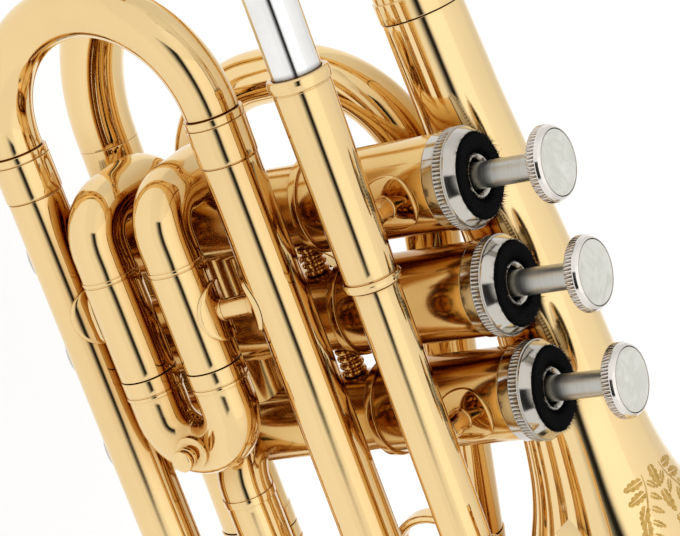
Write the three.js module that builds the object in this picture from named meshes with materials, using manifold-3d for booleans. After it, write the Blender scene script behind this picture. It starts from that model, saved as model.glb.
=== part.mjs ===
// A pocket trumpet: three piston valves, a full length of brass tube wound into a short body, and a bell.
// Millimetres. X runs forward to the bell, Y to the player's left, Z up along the valves.
// The origin lies on the axis of the second valve, inside the valve block, where the hand holds it.
import * as THREE from "three";
import { mergeVertices } from "three/addons/utils/BufferGeometryUtils.js";
import Module from "manifold-3d";

// How finely round things are faceted
const tubeSides = 10;
const bellSides = 20;
const valveSides = 16;
const smallSides = 8;
const braceSides = 12;
const chordSag = 1;
const longestBendStep = Math.PI / 5;

// Gaps and walls
const seatGap = 0.3;
const slideGap = 0.3;
const tubeWall = 0.6;
const hair = 0.01;

// Valve block
const valvePitch = 27;
const casingBore = 8.7;
const lowerCasingRadius = 10;
const upperCasingRadius = 11.2;
const casingStepZ = 15;
const casingBeadRadius = 11.7;
const casingBeadWidth = 1.8;
const casingShoulderZ = 52;
const casingFootZ = -58;
const topThreadRadius = 10.4;
const topThreadLength = 4.2;
const footThreadRadius = 9.3;
const footThreadLength = 9.9;

// Top cap, from its skirt up
const capSkirtRadius = 11.6;
const capKnurlRadius = 11.95;
const capTopRadius = 10.6;
const capRimRadius = 10.1;
const capSkirtHeight = 2.9;
const capKnurlHeight = 2.5;
const capHeight = 8.3;
const capRecessDepth = 2.2;
const capCollarRadius = 5.2;
const capHoleRadius = 3.7;
const capRoofThickness = 1.5;
const feltInset = 0.3;

// Bottom cap
const footCapRadius = 9.95;
const footCapChamfer = 1.4;
const footCapFloor = 1.2;
const footCapHoleRadius = 1.6;
const footCapBossRadius = 4;
const footCapBossHeight = 0.8;

// Piston, its stem and the spring inside it
const pistonFootZ = -50.5;
const pistonShoulderZ = 8;
const pistonRoofThickness = 2.5;
const barrelWall = 1.1;
const stemRadius = 3.1;
const stemInButton = 1.4;
const valveStroke = 17;
const guideThickness = 2.5;
const guideWidth = 5;
const guideAboveShoulder = 4.5;
const springWall = 1.1;

// Finger button
const buttonUndersideZ = 77.9;
const buttonKnurlRadius = 8.85;
const buttonTopRadius = 8.35;
const buttonKnurlHeight = 2.1;
const buttonHeight = 3.5;
const pearlRadius = 7.5;
const pearlSeatDepth = 1.2;
const pearlFlatRadius = 4.5;
const pearlCrown = 0.5;

// Ports: height and bearing of each tube that enters a valve casing
const knuckleZ = -17.5;
const knuckleRadius = 6.25;
const passageOverrunShare = 1.5;

// Leadpipe and the bow that turns it back
const leadpipeY = -24.5;
const leadpipeZ = 40.2;
const leadpipeRadius = 5.7;
const frontBowStartX = 62;
const mainTubeRadius = 6.8;
const legY = -24;
const lowerLegZ = -45.1;
const upperLegZ = 13.9;
const legEndX = -60;
const legFerruleLength = 11;
const legRingLength = 1.8;
const legGrooveWidth = 0.3;
const ferruleThickness = 0.25;
const frontFerruleLength = 5;
const leadpipeSleeveThickness = 0.5;
const frontBowStraight = 0.5;

// Mouthpiece receiver and mouthpiece
const receiverMouthX = -65.5;
const receiverEndX = -14;
const receiverMouthRadius = 6.9;
const receiverEndRadius = 6.25;
const receiverRimRadius = 7.25;
const receiverRimWidth = 2;
const receiverRingRadius = 6.75;
const receiverRingWidth = 1.4;
const spigotLength = 10;
const spigotWall = 0.6;
const mouthpieceLength = 87;
const shankLength = 24.5;
const shankTaperShare = 0.024;
const shankMouthRadius = 5.85;
const shankWall = 1.3;
const rimRadius = 13.5;
const rimBite = 8.2;
const rimRound = 1.2;
const rimHeight = 3;
const cupDepth = 11;
const cupWallRadius = 12.2;
const cupBodyLength = 32;
const waistRadius = 6.1;
const throatRadius = 1.85;
const throatLength = 7;
// Reach along the cup and girth above the waist, outside; reach and width of the hollow, inside
const cupOutlineShares = [[0.4, 0.96], [0.56, 0.72], [0.72, 0.34], [0.86, 0.1]];
const cupHollowShares = [[0.85, 0.45], [0.6, 0.78], [0.35, 0.93]];

// Main tuning slide
const crookRadius = 6.45;
const crookStraight = 0.5;
const slideLegLength = 34;
const keyHoleRadius = 1.6;
const keyNippleRadius = 2.9;
const keyNippleHeight = 1.5;
const keyPivotAbove = 3.6;
const keyWidth = 5;
const keyThickness = 1.5;
const keyPadLength = 11;
const keyPadRise = 3;
const keyCupRadius = 4.2;
const keyCupDepth = 1.2;
const keyCorkThickness = 1.6;
const keyEarThickness = 1.3;
const keyEarHalfDepth = 1.9;
const keyPinRadius = 0.8;
const keySpan = 11;

// First valve slide, on the player's right of the first valve
const firstSlideY = -28.5;
const firstUpperZ = -8.5;
const firstLowerZ = -28.3;
const elbowX = -42.5;
const elbowBend = 9;
const firstTubeEndX = -1.8;
const firstCrookX = 9.3;
const firstCrookRadius = 6.9;
const firstCrookSleeveLength = 8.5;
const firstTubeLength = 25.9;
const firstLegLength = 24;
const knobX = 17.5;
const knobLength = 4.8;
const knobRadius = 2.8;
const knobNeckRadius = 1.7;
const knobFlangeRadius = 4.2;
const knobFlangeHeight = 0.8;
const knobNeckShare = 0.25;
const grooveStartShare = 0.5;
const grooveEndShare = 0.65;

// Second valve slide, straight out to the player's left of the second valve
const secondUpperZ = -8;
const secondLowerZ = -26;
const secondTubeRadius = 6.3;
const secondTubeEndY = 20;
const secondSleeveLength = 4;
const secondCrookY = 26;
const secondLegLength = 9;

// Third valve slide, forward from the third valve
const thirdY = 8;
const thirdUpperZ = -11;
const thirdLowerZ = -40;
const thirdTubeRadius = 6.2;
const thirdTubeEndX = 60;
const thirdCrookX = 84;
const thirdLegLength = 19;
const thirdBend = 9;
const ringX = 72;
const ringInnerRadius = 10;
const ringSection = 2.2;
const ringWidth = 5;
const ringFootShare = 0.8;

// Tube into the third valve, and the small bow that feeds it
const inletZ = -24.6;
const inletY = -14.5;
const inletRadius = 6.4;
const inletBend = 10;
const inletTurnX = 28.8;
const inletRingX = 38.8;
const inletRingWidth = 2;

// Tube out of the first valve, up and over on the player's left
const exitZ = -35.5;
const exitRadius = 6.4;
const loopRadius = 6.9;
const loopBowRadius = 30.1;
const loopCentreX = -22;
const loopCentreZ = -5.4;
const loopY = 30;
const loopTurnX = -14;
const loopTurnBend = 8;
const loopHeelBend = 25;
const loopLean = 0.09;
const loopFrontX = 76.9;
const loopFrontZ = 4.2;
const leftBowRadius = 32;
const leftBowReach = 36.8;

// Bell and the bow behind it
const bellY = 26.5;
const bellJointX = -61;
const bellTailX = -44.1;
const bellTailZ = 44.5;
const bellZ = 48.1;
const bellKneeX = 10.9;
const bellKneeBend = 200;
const bellRimX = 112.4;
const bellJointRadius = 10.1;
const bellTailRadius = 10.3;
const bellRimRadius = 46.2;
const bellRimBead = 0.8;
const beadShares = [1.5, 0.5];
// Reach along the bell in front of its tail and growth of its radius from there to the rim
const bellOutlineShares = [
  [0, 0], [0.065, 0.005], [0.288, 0.047], [0.461, 0.086], [0.608, 0.148], [0.691, 0.217], [0.767, 0.339],
  [0.831, 0.479], [0.895, 0.673], [0.946, 0.855], [0.978, 0.975], [0.988, 1],
];
const returnTubeRadius = 7;
const returnTailRadius = 7.8;
const returnTailX = -44.1;
const returnTailZ = -60.4;
const returnFrontX = 67.4;
const returnFrontZ = -63.4;
const bellBowUpperBend = 30;
const bellBowLowerBend = 52;
const bellBowReach = 52.4;
const bellBowSides = 12;

// Braces and the hook for the little finger
const braceFlangeRadius = 7.2;
const braceFlangeThickness = 0.6;
const bracePostRadius = 2.7;
const bellPostRadius = 3.2;
const leadpipeBraceZ = 42;
const slideBraceFlangeRadius = 6.7;
const braceReachShare = 1.5;
const upperSlideBraceX = -14;
const lowerSlideBraceX = -17;
const bellBraceZ = 44;
const hookFootX = 53.3;
const hookFootLength = 3.5;
const hookWidth = 8;
const hookThickness = 2;
const hookInner = 9.5;
const hookSink = 0.6;
const hookEndAngle = 2.2;
const stayZ = 8.3;
const stayRibs = 4;
const stayRibRadius = 3.1;
const stayNeckRadius = 2.4;
const stayNeckShare = 0.2;

const wasm = await Module();
wasm.setup();

const up = new THREE.Vector3(0, 0, 1);
const forward = new THREE.Vector3(1, 0, 0);
const left = new THREE.Vector3(0, 1, 0);

// The turn between two rings of a bend, so that its chords stay close to the round.
const bendStep = (radius) => Math.min(longestBendStep, 2 * Math.acos(1 - chordSag / radius));

// A centre line of straight runs joined by round bends, the way a bender makes a tube.
class Route {
  constructor(corners, bendRadius, hint = up) {
    const points = corners.map((corner) => new THREE.Vector3(...corner));
    const heading = points[1].clone().sub(points[0]).normalize();
    const across = hint.clone().addScaledVector(heading, -hint.dot(heading)).normalize();
    this.pieces = [];
    this.length = 0;
    this.frame = { centre: points[0].clone(), heading, across };
    for (let i = 1; i < points.length; i++) {
      const run = points[i].clone().sub(this.frame.centre);
      if (i === points.length - 1) {
        this.addPiece(run.length(), null, 0);
        break;
      }
      const out = points[i + 1].clone().sub(points[i]).normalize();
      const turn = this.frame.heading.angleTo(out);
      const radius = Array.isArray(bendRadius) ? bendRadius[i - 1] : bendRadius;
      const axis = this.frame.heading.clone().cross(out).normalize();
      this.addPiece(run.length() - radius * Math.tan(turn / 2), null, 0);
      this.addPiece(radius * turn, axis, turn);
    }
  }

  addPiece(length, axis, turn) {
    this.pieces.push({ from: this.length, length, axis, turn, start: this.frame });
    this.length += length;
    this.frame = this.frameAt(this.length);
  }

  // The centre, heading and two cross directions of the tube at a distance along it.
  frameAt(distance) {
    const piece = this.pieces.findLast((one) => distance >= one.from) ?? this.pieces[0];
    const share = piece.length ? (distance - piece.from) / piece.length : 0;
    const centre = piece.start.centre.clone();
    const heading = piece.start.heading.clone();
    const across = piece.start.across.clone();
    if (!piece.axis) {
      centre.addScaledVector(heading, distance - piece.from);
      return { centre, heading, across };
    }
    const inward = piece.axis.clone().cross(heading);
    const hub = centre.clone().addScaledVector(inward, piece.length / piece.turn);
    const spoke = centre.sub(hub).applyAxisAngle(piece.axis, piece.turn * share);
    heading.applyAxisAngle(piece.axis, piece.turn * share);
    across.applyAxisAngle(piece.axis, piece.turn * share);
    return { centre: hub.add(spoke), heading, across };
  }

  // Distances at which a faceted tube needs a ring.
  stations() {
    const marks = [0];
    for (const piece of this.pieces.filter((one) => one.length > hair)) {
      const steps = piece.axis ? Math.ceil(piece.turn / bendStep(piece.length / piece.turn)) : 1;
      for (let i = 1; i <= steps; i++) {
        marks.push(piece.from + (piece.length * i) / steps);
      }
    }
    return marks;
  }
}

// A solid of revolution about its own Y, bent so that Y follows the route.
function bentOver(geometry, route) {
  const place = geometry.getAttribute("position");
  for (let i = 0; i < place.count; i++) {
    const { centre, heading, across } = route.frameAt(place.getY(i));
    const side = across.clone().cross(heading);
    centre.addScaledVector(across, place.getX(i)).addScaledVector(side, place.getZ(i));
    place.setXYZ(i, centre.x, centre.y, centre.z);
  }
  return geometry;
}

function turned(profile, sides) {
  const points = profile.map(([radius, along]) => new THREE.Vector2(radius, along));
  return new THREE.LatheGeometry(points, sides);
}

function closed(outline) {
  return [...outline, outline[0]];
}

// An open tube along a route: outer radius by distance, an even wall or a plain bore,
// and bands of another outer radius, such as ferrules and the thinner legs of a slide.
function tube(route, outer, { bore, bands = [], sides = tubeSides } = {}) {
  const outerAt = typeof outer === "function" ? outer : () => outer;
  const boreAt = (mark) => bore ?? outerAt(mark) - tubeWall;
  const stations = route.stations();
  const edges = bands.flatMap(({ from, to }) => [from, to]);
  const isNew = (edge) => stations.every((mark) => Math.abs(mark - edge) > hair);
  const marks = [...stations, ...new Set(edges.filter(isNew))].sort((a, b) => a - b);
  const radiusAt = (mark, nudge) => {
    const band = bands.find(({ from, to }) => mark + nudge > from && mark + nudge < to);
    return band ? band.radius : outerAt(mark);
  };
  const outside = marks.flatMap((mark) => {
    const nudges = [-hair, hair].filter((nudge) => mark + nudge > 0 && mark + nudge < route.length);
    const radii = new Set(nudges.map((nudge) => radiusAt(mark, nudge)));
    return [...radii].map((radius) => [radius, mark]);
  });
  const inside = stations.toReversed().map((mark) => [boreAt(mark), mark]);
  return bentOver(turned(closed([...outside, ...inside]), sides), route);
}

// A solid rod along a route, for cutting a tube's way into its neighbour.
function rod(route, radius, sides = tubeSides) {
  const walls = route.stations().map((mark) => [radius, mark]);
  return bentOver(turned([[0, 0], ...walls, [0, route.length]], sides), route);
}

function uprightAt(profile, x, sides) {
  return turned(profile, sides).rotateX(Math.PI / 2).translate(x, 0, 0);
}

function pillar(x, radius, fromZ, toZ, sides = valveSides) {
  return uprightAt([[0, fromZ], [radius, fromZ], [radius, toZ], [0, toZ]], x, sides);
}

function block(from, to) {
  const size = to.map((high, i) => high - from[i]);
  const middle = to.map((high, i) => (high + from[i]) / 2);
  return new THREE.BoxGeometry(...size).translate(...middle);
}

function solidOf(geometry) {
  const bare = geometry.clone();
  bare.deleteAttribute("normal");
  bare.deleteAttribute("uv");
  const merged = mergeVertices(bare);
  return new wasm.Manifold(
    new wasm.Mesh({
      numProp: 3,
      vertProperties: merged.getAttribute("position").array,
      triVerts: new Uint32Array(merged.index.array),
    }),
  );
}

function geometryOf(solid) {
  const mesh = solid.getMesh();
  const geometry = new THREE.BufferGeometry();
  geometry.setAttribute("position", new THREE.BufferAttribute(mesh.vertProperties, mesh.numProp));
  geometry.setIndex(new THREE.BufferAttribute(mesh.triVerts, 1));
  const flat = geometry.toNonIndexed();
  flat.computeVertexNormals();
  return flat;
}

// The geometry kept within others, with more joined on and the rest cut away.
function shaped(geometry, { within = [], joined = [], cut = [] }) {
  let solid = solidOf(geometry);
  for (const other of within) {
    solid = solid.intersect(solidOf(other));
  }
  for (const other of joined) {
    solid = solid.add(solidOf(other));
  }
  for (const other of cut) {
    solid = solid.subtract(solidOf(other));
  }
  return geometryOf(solid);
}

// Finishes
const lacquer = { color: 0xd9a441, roughness: 0.18, metalness: 1 };
const nickel = { color: 0xcfcac2, roughness: 0.2, metalness: 1 };
const silver = { color: 0xe2e0dc, roughness: 0.12, metalness: 1 };
const steel = { color: 0xa3a4a6, roughness: 0.4, metalness: 1 };
const monel = { color: 0xb4aea2, roughness: 0.35, metalness: 1 };
const blackFelt = { color: 0x0c0c0c, roughness: 1, metalness: 0 };
const pearl = { color: 0xe6e6dd, roughness: 0.25, metalness: 0 };
const nylon = { color: 0xf0efe8, roughness: 0.5, metalness: 0 };
const cork = { color: 0xb98a55, roughness: 0.9, metalness: 0 };

const trumpet = new THREE.Group();

function add(name, geometry, finish, group = trumpet) {
  const mesh = new THREE.Mesh(geometry, new THREE.MeshStandardMaterial(finish));
  mesh.name = name;
  group.add(mesh);
}

const valves = [-1, 0, 1].map((step, index) => ({ number: index + 1, x: step * valvePitch }));
const [firstValve, secondValve, thirdValve] = valves;

// The way from a valve's axis out to where a tube lies.
function spoke(valve, bearing, z, length) {
  return new Route([
    [valve.x, 0, z],
    [valve.x + length * Math.cos(bearing), length * Math.sin(bearing), z],
  ], 0);
}

// Tube routes
const fromFirst = (z) => new Route([
  [firstTubeEndX, firstSlideY, z],
  [elbowX, firstSlideY, z],
  [elbowX, 0, z],
  [firstValve.x, 0, z],
], elbowBend);
const firstUpper = fromFirst(firstUpperZ);
const firstLower = fromFirst(firstLowerZ);

const fromThird = (z) => new Route([
  [thirdValve.x, 0, z],
  [thirdValve.x + thirdY, thirdY, z],
  [thirdTubeEndX, thirdY, z],
], thirdBend);
const thirdUpper = fromThird(thirdUpperZ);
const thirdLower = fromThird(thirdLowerZ);

const inlet = new Route([
  [thirdValve.x, 0, inletZ],
  [inletTurnX, inletY, inletZ],
  [frontBowStartX, inletY, inletZ],
], inletBend);

const fromSecond = (z) => new Route([[0, 0, z], [0, secondTubeEndY, z]], 0);
const secondUpper = fromSecond(secondUpperZ);
const secondLower = fromSecond(secondLowerZ);

const loopYAt = (z) => loopY + loopLean * (z - loopCentreZ);
const loopTopZ = loopCentreZ + loopBowRadius;
const loopBackX = loopCentreX - loopBowRadius;
const loopSlope = (loopFrontZ - loopTopZ) / (loopFrontX - loopCentreX);
const loopCornerZ = loopTopZ + loopSlope * (loopBackX - loopCentreX);
const loop = new Route([
  [firstValve.x, 0, exitZ],
  [loopTurnX, loopYAt(exitZ), exitZ],
  [loopBackX, loopYAt(exitZ), exitZ],
  [loopBackX, loopYAt(loopCornerZ), loopCornerZ],
  [loopFrontX, loopYAt(loopFrontZ), loopFrontZ],
], [loopTurnBend, loopHeelBend, loopBowRadius]);

const casingEdge = lowerCasingRadius + seatGap;
const casingKeepOut = (valve) => pillar(valve.x, casingEdge, casingFootZ, casingStepZ);

// Valve casing: bored tube with a stepped outside, threaded at both ends, and a hole for each tube.
function casing(valve, ports) {
  const outside = [
    [footThreadRadius, casingFootZ - footThreadLength],
    [footThreadRadius, casingFootZ],
    [lowerCasingRadius, casingFootZ],
    [lowerCasingRadius, casingStepZ],
    [casingBeadRadius, casingStepZ],
    [casingBeadRadius, casingStepZ + casingBeadWidth],
    [upperCasingRadius, casingStepZ + casingBeadWidth],
    [upperCasingRadius, casingShoulderZ],
    [topThreadRadius, casingShoulderZ],
    [topThreadRadius, casingShoulderZ + topThreadLength],
  ];
  const inside = [
    [casingBore, casingShoulderZ + topThreadLength],
    [casingBore, casingFootZ - footThreadLength],
  ];
  const body = uprightAt(closed([...outside, ...inside]), valve.x, valveSides);
  return shaped(body, { cut: ports });
}

const towards = (valve, other) => (other.x > valve.x ? 0 : Math.PI);
const knuckleHole = (valve, other) =>
  rod(spoke(valve, towards(valve, other), knuckleZ, valvePitch / 2), knuckleRadius - tubeWall);
const tubeHole = (route, radius) => rod(route, radius - tubeWall);

// A ribbed stay that reaches from one casing to the next above the knuckle.
function stay(valve, side) {
  const wallX = valve.x + side * (casingBore + tubeWall);
  const reachX = valve.x + side * (valvePitch - lowerCasingRadius - seatGap);
  const route = new Route([[wallX, 0, stayZ], [reachX, 0, stayZ]], 0);
  const pitch = route.length / stayRibs;
  const neck = pitch * stayNeckShare;
  const ribs = Array.from({ length: stayRibs }, (_, i) => [
    [stayNeckRadius, i * pitch],
    [stayRibRadius, i * pitch + neck],
    [stayRibRadius, (i + 1) * pitch - neck],
  ]);
  const outline = [[0, 0], ...ribs.flat(), [stayNeckRadius, route.length], [0, route.length]];
  return bentOver(turned(outline, smallSides), route);
}

add("valve_casing_1", casing(firstValve, [
  knuckleHole(firstValve, secondValve),
  tubeHole(firstUpper, mainTubeRadius),
  tubeHole(firstLower, mainTubeRadius),
  tubeHole(loop, exitRadius),
]), lacquer);

const secondOuters = [secondUpper, secondLower].map((route) => shaped(tube(route, secondTubeRadius), {
  cut: [pillar(0, casingBore + tubeWall, casingFootZ, casingStepZ)],
}));
const stays = [-1, 1].map((side) => stay(secondValve, side));
add("valve_casing_2", shaped(casing(secondValve, [
  knuckleHole(secondValve, firstValve),
  knuckleHole(secondValve, thirdValve),
  tubeHole(secondUpper, secondTubeRadius),
  tubeHole(secondLower, secondTubeRadius),
]), { joined: [...secondOuters, ...stays] }), lacquer);

add("valve_casing_3", casing(thirdValve, [
  knuckleHole(thirdValve, secondValve),
  tubeHole(inlet, inletRadius),
  tubeHole(thirdUpper, thirdTubeRadius),
  tubeHole(thirdLower, thirdTubeRadius),
]), lacquer);

// Knuckles between the casings
for (const [valve, next] of [[firstValve, secondValve], [secondValve, thirdValve]]) {
  const route = new Route([[valve.x, 0, knuckleZ], [next.x, 0, knuckleZ]], 0);
  const knuckle = shaped(tube(route, knuckleRadius), { cut: [casingKeepOut(valve), casingKeepOut(next)] });
  add(`knuckle_${valve.number}_${next.number}`, knuckle, lacquer);
}

// Caps, felts, pistons, guides, springs and buttons, one set on each valve
const capTopZ = casingShoulderZ + seatGap + capHeight;
const capUndersideZ = capTopZ - capRecessDepth - capRoofThickness;
const pistonTopZ = capUndersideZ - seatGap;
const guideZ = pistonShoulderZ + guideAboveShoulder;
const pistonRadius = casingBore - slideGap;
const barrelBore = pistonRadius - barrelWall;
const springTopZ = pistonTopZ - pistonRoofThickness - seatGap;

function topCap() {
  const skirtZ = casingShoulderZ + seatGap;
  const knurlZ = skirtZ + capSkirtHeight;
  const roofZ = capTopZ - capRecessDepth;
  return closed([
    [capSkirtRadius, skirtZ],
    [capSkirtRadius, knurlZ],
    [capKnurlRadius, knurlZ],
    [capKnurlRadius, knurlZ + capKnurlHeight],
    [capTopRadius, capTopZ],
    [capRimRadius, capTopZ],
    [capRimRadius, roofZ],
    [capCollarRadius, roofZ],
    [capCollarRadius, capTopZ],
    [capHoleRadius, capTopZ],
    [capHoleRadius, capUndersideZ],
    [topThreadRadius + seatGap, capUndersideZ],
    [topThreadRadius + seatGap, skirtZ],
  ]);
}

function bottomCap() {
  const rimZ = casingFootZ - seatGap;
  const floorZ = casingFootZ - footThreadLength - seatGap;
  const underZ = floorZ - footCapFloor;
  return closed([
    [footCapHoleRadius, underZ - footCapBossHeight],
    [footCapBossRadius, underZ - footCapBossHeight],
    [footCapBossRadius, underZ],
    [footCapRadius - footCapChamfer, underZ],
    [footCapRadius, underZ + footCapChamfer],
    [footCapRadius, rimZ],
    [footThreadRadius + seatGap, rimZ],
    [footThreadRadius + seatGap, floorZ],
    [footCapHoleRadius, floorZ],
  ]);
}

function piston(valve, passage) {
  const roofZ = pistonTopZ - pistonRoofThickness;
  const buttonSeatZ = buttonUndersideZ + stemInButton;
  const body = uprightAt([
    [0, pistonFootZ],
    [pistonRadius, pistonFootZ],
    [pistonRadius, pistonTopZ],
    [stemRadius, pistonTopZ],
    [stemRadius, buttonSeatZ],
    [0, buttonSeatZ],
  ], valve.x, valveSides);
  const slotHalf = guideWidth / 2 + slideGap;
  const slot = block(
    [valve.x - slotHalf, -casingBore, guideZ - slideGap],
    [valve.x + slotHalf, casingBore, guideZ + guideThickness + valveStroke + slideGap],
  );
  return shaped(body, { cut: [pillar(valve.x, barrelBore, pistonShoulderZ, roofZ), slot, passage] });
}

function guide(valve) {
  const hub = pillar(valve.x, barrelBore - slideGap, guideZ, guideZ + guideThickness);
  const bar = block(
    [valve.x - guideWidth / 2, -casingBore, guideZ],
    [valve.x + guideWidth / 2, casingBore, guideZ + guideThickness],
  );
  const roundBar = shaped(bar, { within: [pillar(valve.x, pistonRadius, guideZ, guideZ + guideThickness)] });
  return shaped(hub, { joined: [roundBar] });
}

function spring() {
  const outer = barrelBore - slideGap;
  const foot = guideZ + guideThickness + seatGap;
  const inner = outer - springWall;
  return closed([[outer, foot], [outer, springTopZ], [inner, springTopZ], [inner, foot]]);
}

function button() {
  const topZ = buttonUndersideZ + buttonHeight;
  const knurlTopZ = buttonUndersideZ + buttonKnurlHeight;
  const seatZ = topZ - pearlSeatDepth;
  return [
    [0, buttonUndersideZ + stemInButton + seatGap],
    [stemRadius + seatGap, buttonUndersideZ + stemInButton + seatGap],
    [stemRadius + seatGap, buttonUndersideZ],
    [buttonKnurlRadius, buttonUndersideZ],
    [buttonKnurlRadius, knurlTopZ],
    [buttonTopRadius, topZ],
    [pearlRadius + seatGap, topZ],
    [pearlRadius + seatGap, seatZ],
    [0, seatZ],
  ];
}

function pearlInlay() {
  const topZ = buttonUndersideZ + buttonHeight;
  const seatZ = topZ - pearlSeatDepth + seatGap;
  const crownZ = topZ + pearlCrown;
  return [[0, seatZ], [pearlRadius, seatZ], [pearlRadius, topZ], [pearlFlatRadius, crownZ], [0, crownZ]];
}

function feltWasher() {
  const outer = capRimRadius - feltInset;
  const inner = capCollarRadius + feltInset;
  const foot = capTopZ - capRecessDepth + seatGap;
  return closed([[inner, foot], [outer, foot], [outer, capTopZ], [inner, capTopZ]]);
}

// The third piston's ports lie close in height, so its passage goes from one to the other in a slanted knee.
const kneeZ = (knuckleZ + inletZ) / 2;
const pastWall = casingBore * passageOverrunShare;
const fromKnee = (bearing, portZ) => [
  thirdValve.x + pastWall * Math.cos(bearing),
  pastWall * Math.sin(bearing),
  kneeZ + (portZ - kneeZ) * passageOverrunShare,
];
const inletBearing = Math.atan2(inletY, inletTurnX - thirdValve.x);

const passages = [
  new Route([[secondValve.x, 0, knuckleZ], [firstValve.x, 0, knuckleZ], [firstValve.x, 0, exitZ],
    [loopTurnX, loopYAt(exitZ), exitZ]], knuckleRadius),
  new Route([[firstValve.x, 0, knuckleZ], [thirdValve.x, 0, knuckleZ]], 0),
  new Route([
    fromKnee(Math.PI, knuckleZ),
    [thirdValve.x, 0, kneeZ],
    fromKnee(inletBearing, inletZ),
  ], knuckleRadius),
];

for (const valve of valves) {
  const passage = rod(passages[valve.number - 1], knuckleRadius - tubeWall);
  add(`top_cap_${valve.number}`, uprightAt(topCap(), valve.x, valveSides), nickel);
  add(`felt_washer_${valve.number}`, uprightAt(feltWasher(), valve.x, valveSides), blackFelt);
  add(`bottom_cap_${valve.number}`, uprightAt(bottomCap(), valve.x, valveSides), nickel);
  add(`valve_piston_${valve.number}`, piston(valve, passage), monel);
  add(`valve_guide_${valve.number}`, guide(valve), nylon);
  add(`piston_spring_${valve.number}`, uprightAt(spring(), valve.x, smallSides), steel);
  add(`finger_button_${valve.number}`, uprightAt(button(), valve.x, valveSides), nickel);
  add(`pearl_inlay_${valve.number}`, uprightAt(pearlInlay(), valve.x, valveSides), pearl);
}

// Mouthpiece and its receiver
const along = (fromX, toX, y, z) => new Route([[fromX, y, z], [toX, y, z]], 0);
const shankStart = mouthpieceLength - shankLength;
const shankAt = (distance) => shankMouthRadius - shankTaperShare * (distance - shankStart);
const mouthpieceX = receiverMouthX - shankStart;

function mouthpiece() {
  const outside = [
    [rimBite + rimRound, 0],
    [rimRadius - rimRound, 0],
    [rimRadius, rimRound],
    [rimRadius, rimHeight],
    [cupWallRadius, rimHeight + rimRound],
    ...cupOutlineShares.map(([reach, girth]) => [
      waistRadius + girth * (cupWallRadius - waistRadius),
      cupBodyLength * reach,
    ]),
    [waistRadius, cupBodyLength],
    [shankAt(shankStart), shankStart],
    [shankAt(mouthpieceLength), mouthpieceLength],
  ];
  const inside = [
    [shankAt(mouthpieceLength) - shankWall, mouthpieceLength],
    [throatRadius, cupDepth + throatLength],
    [throatRadius, cupDepth],
    ...cupHollowShares.map(([reach, girth]) => [rimBite * girth, cupDepth * reach]),
    [rimBite, rimRound],
  ];
  const line = along(mouthpieceX, mouthpieceX + mouthpieceLength, leadpipeY, leadpipeZ);
  return bentOver(turned(closed([...outside, ...inside]), valveSides), line);
}
add("mouthpiece", mouthpiece(), silver);

const spigotRadius = leadpipeRadius - spigotWall;
const leadpipeBore = spigotRadius - tubeWall;

function receiver() {
  const length = receiverEndX - receiverMouthX;
  const bodyEnd = length - receiverRingWidth;
  const outside = [
    [receiverRimRadius, 0],
    [receiverRimRadius, receiverRimWidth],
    [receiverMouthRadius, receiverRimWidth],
    [receiverEndRadius, bodyEnd],
    [receiverRingRadius, bodyEnd],
    [receiverRingRadius, length],
  ];
  const inside = [
    [spigotRadius + seatGap, length],
    [spigotRadius + seatGap, shankLength + seatGap],
    [shankAt(mouthpieceLength) + seatGap, shankLength + seatGap],
    [shankMouthRadius + seatGap, 0],
  ];
  const line = along(receiverMouthX, receiverEndX, leadpipeY, leadpipeZ);
  return bentOver(turned(closed([...outside, ...inside]), valveSides), line);
}
add("mouthpiece_receiver", receiver(), lacquer);

function leadpipe() {
  const shoulder = spigotLength + seatGap;
  const line = along(receiverEndX - spigotLength, frontBowStartX, leadpipeY, leadpipeZ);
  const outside = [
    [spigotRadius, 0],
    [spigotRadius, shoulder],
    [leadpipeRadius, shoulder],
    [leadpipeRadius, line.length],
  ];
  const inside = [[leadpipeBore, line.length], [leadpipeBore, 0]];
  return bentOver(turned(closed([...outside, ...inside]), tubeSides), line);
}
add("leadpipe", leadpipe(), lacquer);

// A half-round bow from one tube end to another that lies beside it, both facing the same way.
function bowRoute(from, to, reachX) {
  const [x, fromY, fromZ] = from;
  const [, toY, toZ] = to;
  const radius = Math.hypot(toY - fromY, toZ - fromZ) / 2;
  const cornerX = x + Math.sign(reachX) * (radius + Math.abs(reachX) - hair);
  return new Route([from, [cornerX, fromY, fromZ], [cornerX, toY, toZ], to], radius - hair);
}

const endBands = (route, length, radius) => [
  { from: 0, to: length, radius },
  { from: route.length - length, to: route.length, radius },
];

const frontX = frontBowStartX + seatGap;
const frontBow = bowRoute([frontX, leadpipeY, leadpipeZ], [frontX, legY, lowerLegZ], frontBowStraight);
const frontBowAt = (distance) =>
  leadpipeRadius + (mainTubeRadius - leadpipeRadius) * (distance / frontBow.length);
const [leadpipeEnd, legEnd] = endBands(frontBow, frontFerruleLength, mainTubeRadius + ferruleThickness);
add("front_bow", tube(frontBow, frontBowAt, {
  bands: [{ ...leadpipeEnd, radius: leadpipeRadius + leadpipeSleeveThickness }, legEnd],
}), lacquer);

// Outer tubes of the main tuning slide, with a grooved ferrule at the open end
const ferruleRadius = mainTubeRadius + ferruleThickness;
for (const [name, z] of [["upper_leg", upperLegZ], ["lower_leg", lowerLegZ]]) {
  const line = along(legEndX, frontBowStartX, legY, z);
  const bands = [
    { from: 0, to: legRingLength, radius: ferruleRadius },
    { from: legRingLength + legGrooveWidth, to: legFerruleLength, radius: ferruleRadius },
  ];
  add(name, tube(line, mainTubeRadius, { bands }), lacquer);
}

const frontCrook = bowRoute([frontX, legY, upperLegZ], [frontX, inletY, inletZ], frontBowStraight);
add("front_crook", tube(frontCrook, inletRadius, {
  bands: endBands(frontCrook, frontFerruleLength, mainTubeRadius + ferruleThickness),
}), lacquer);

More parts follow.
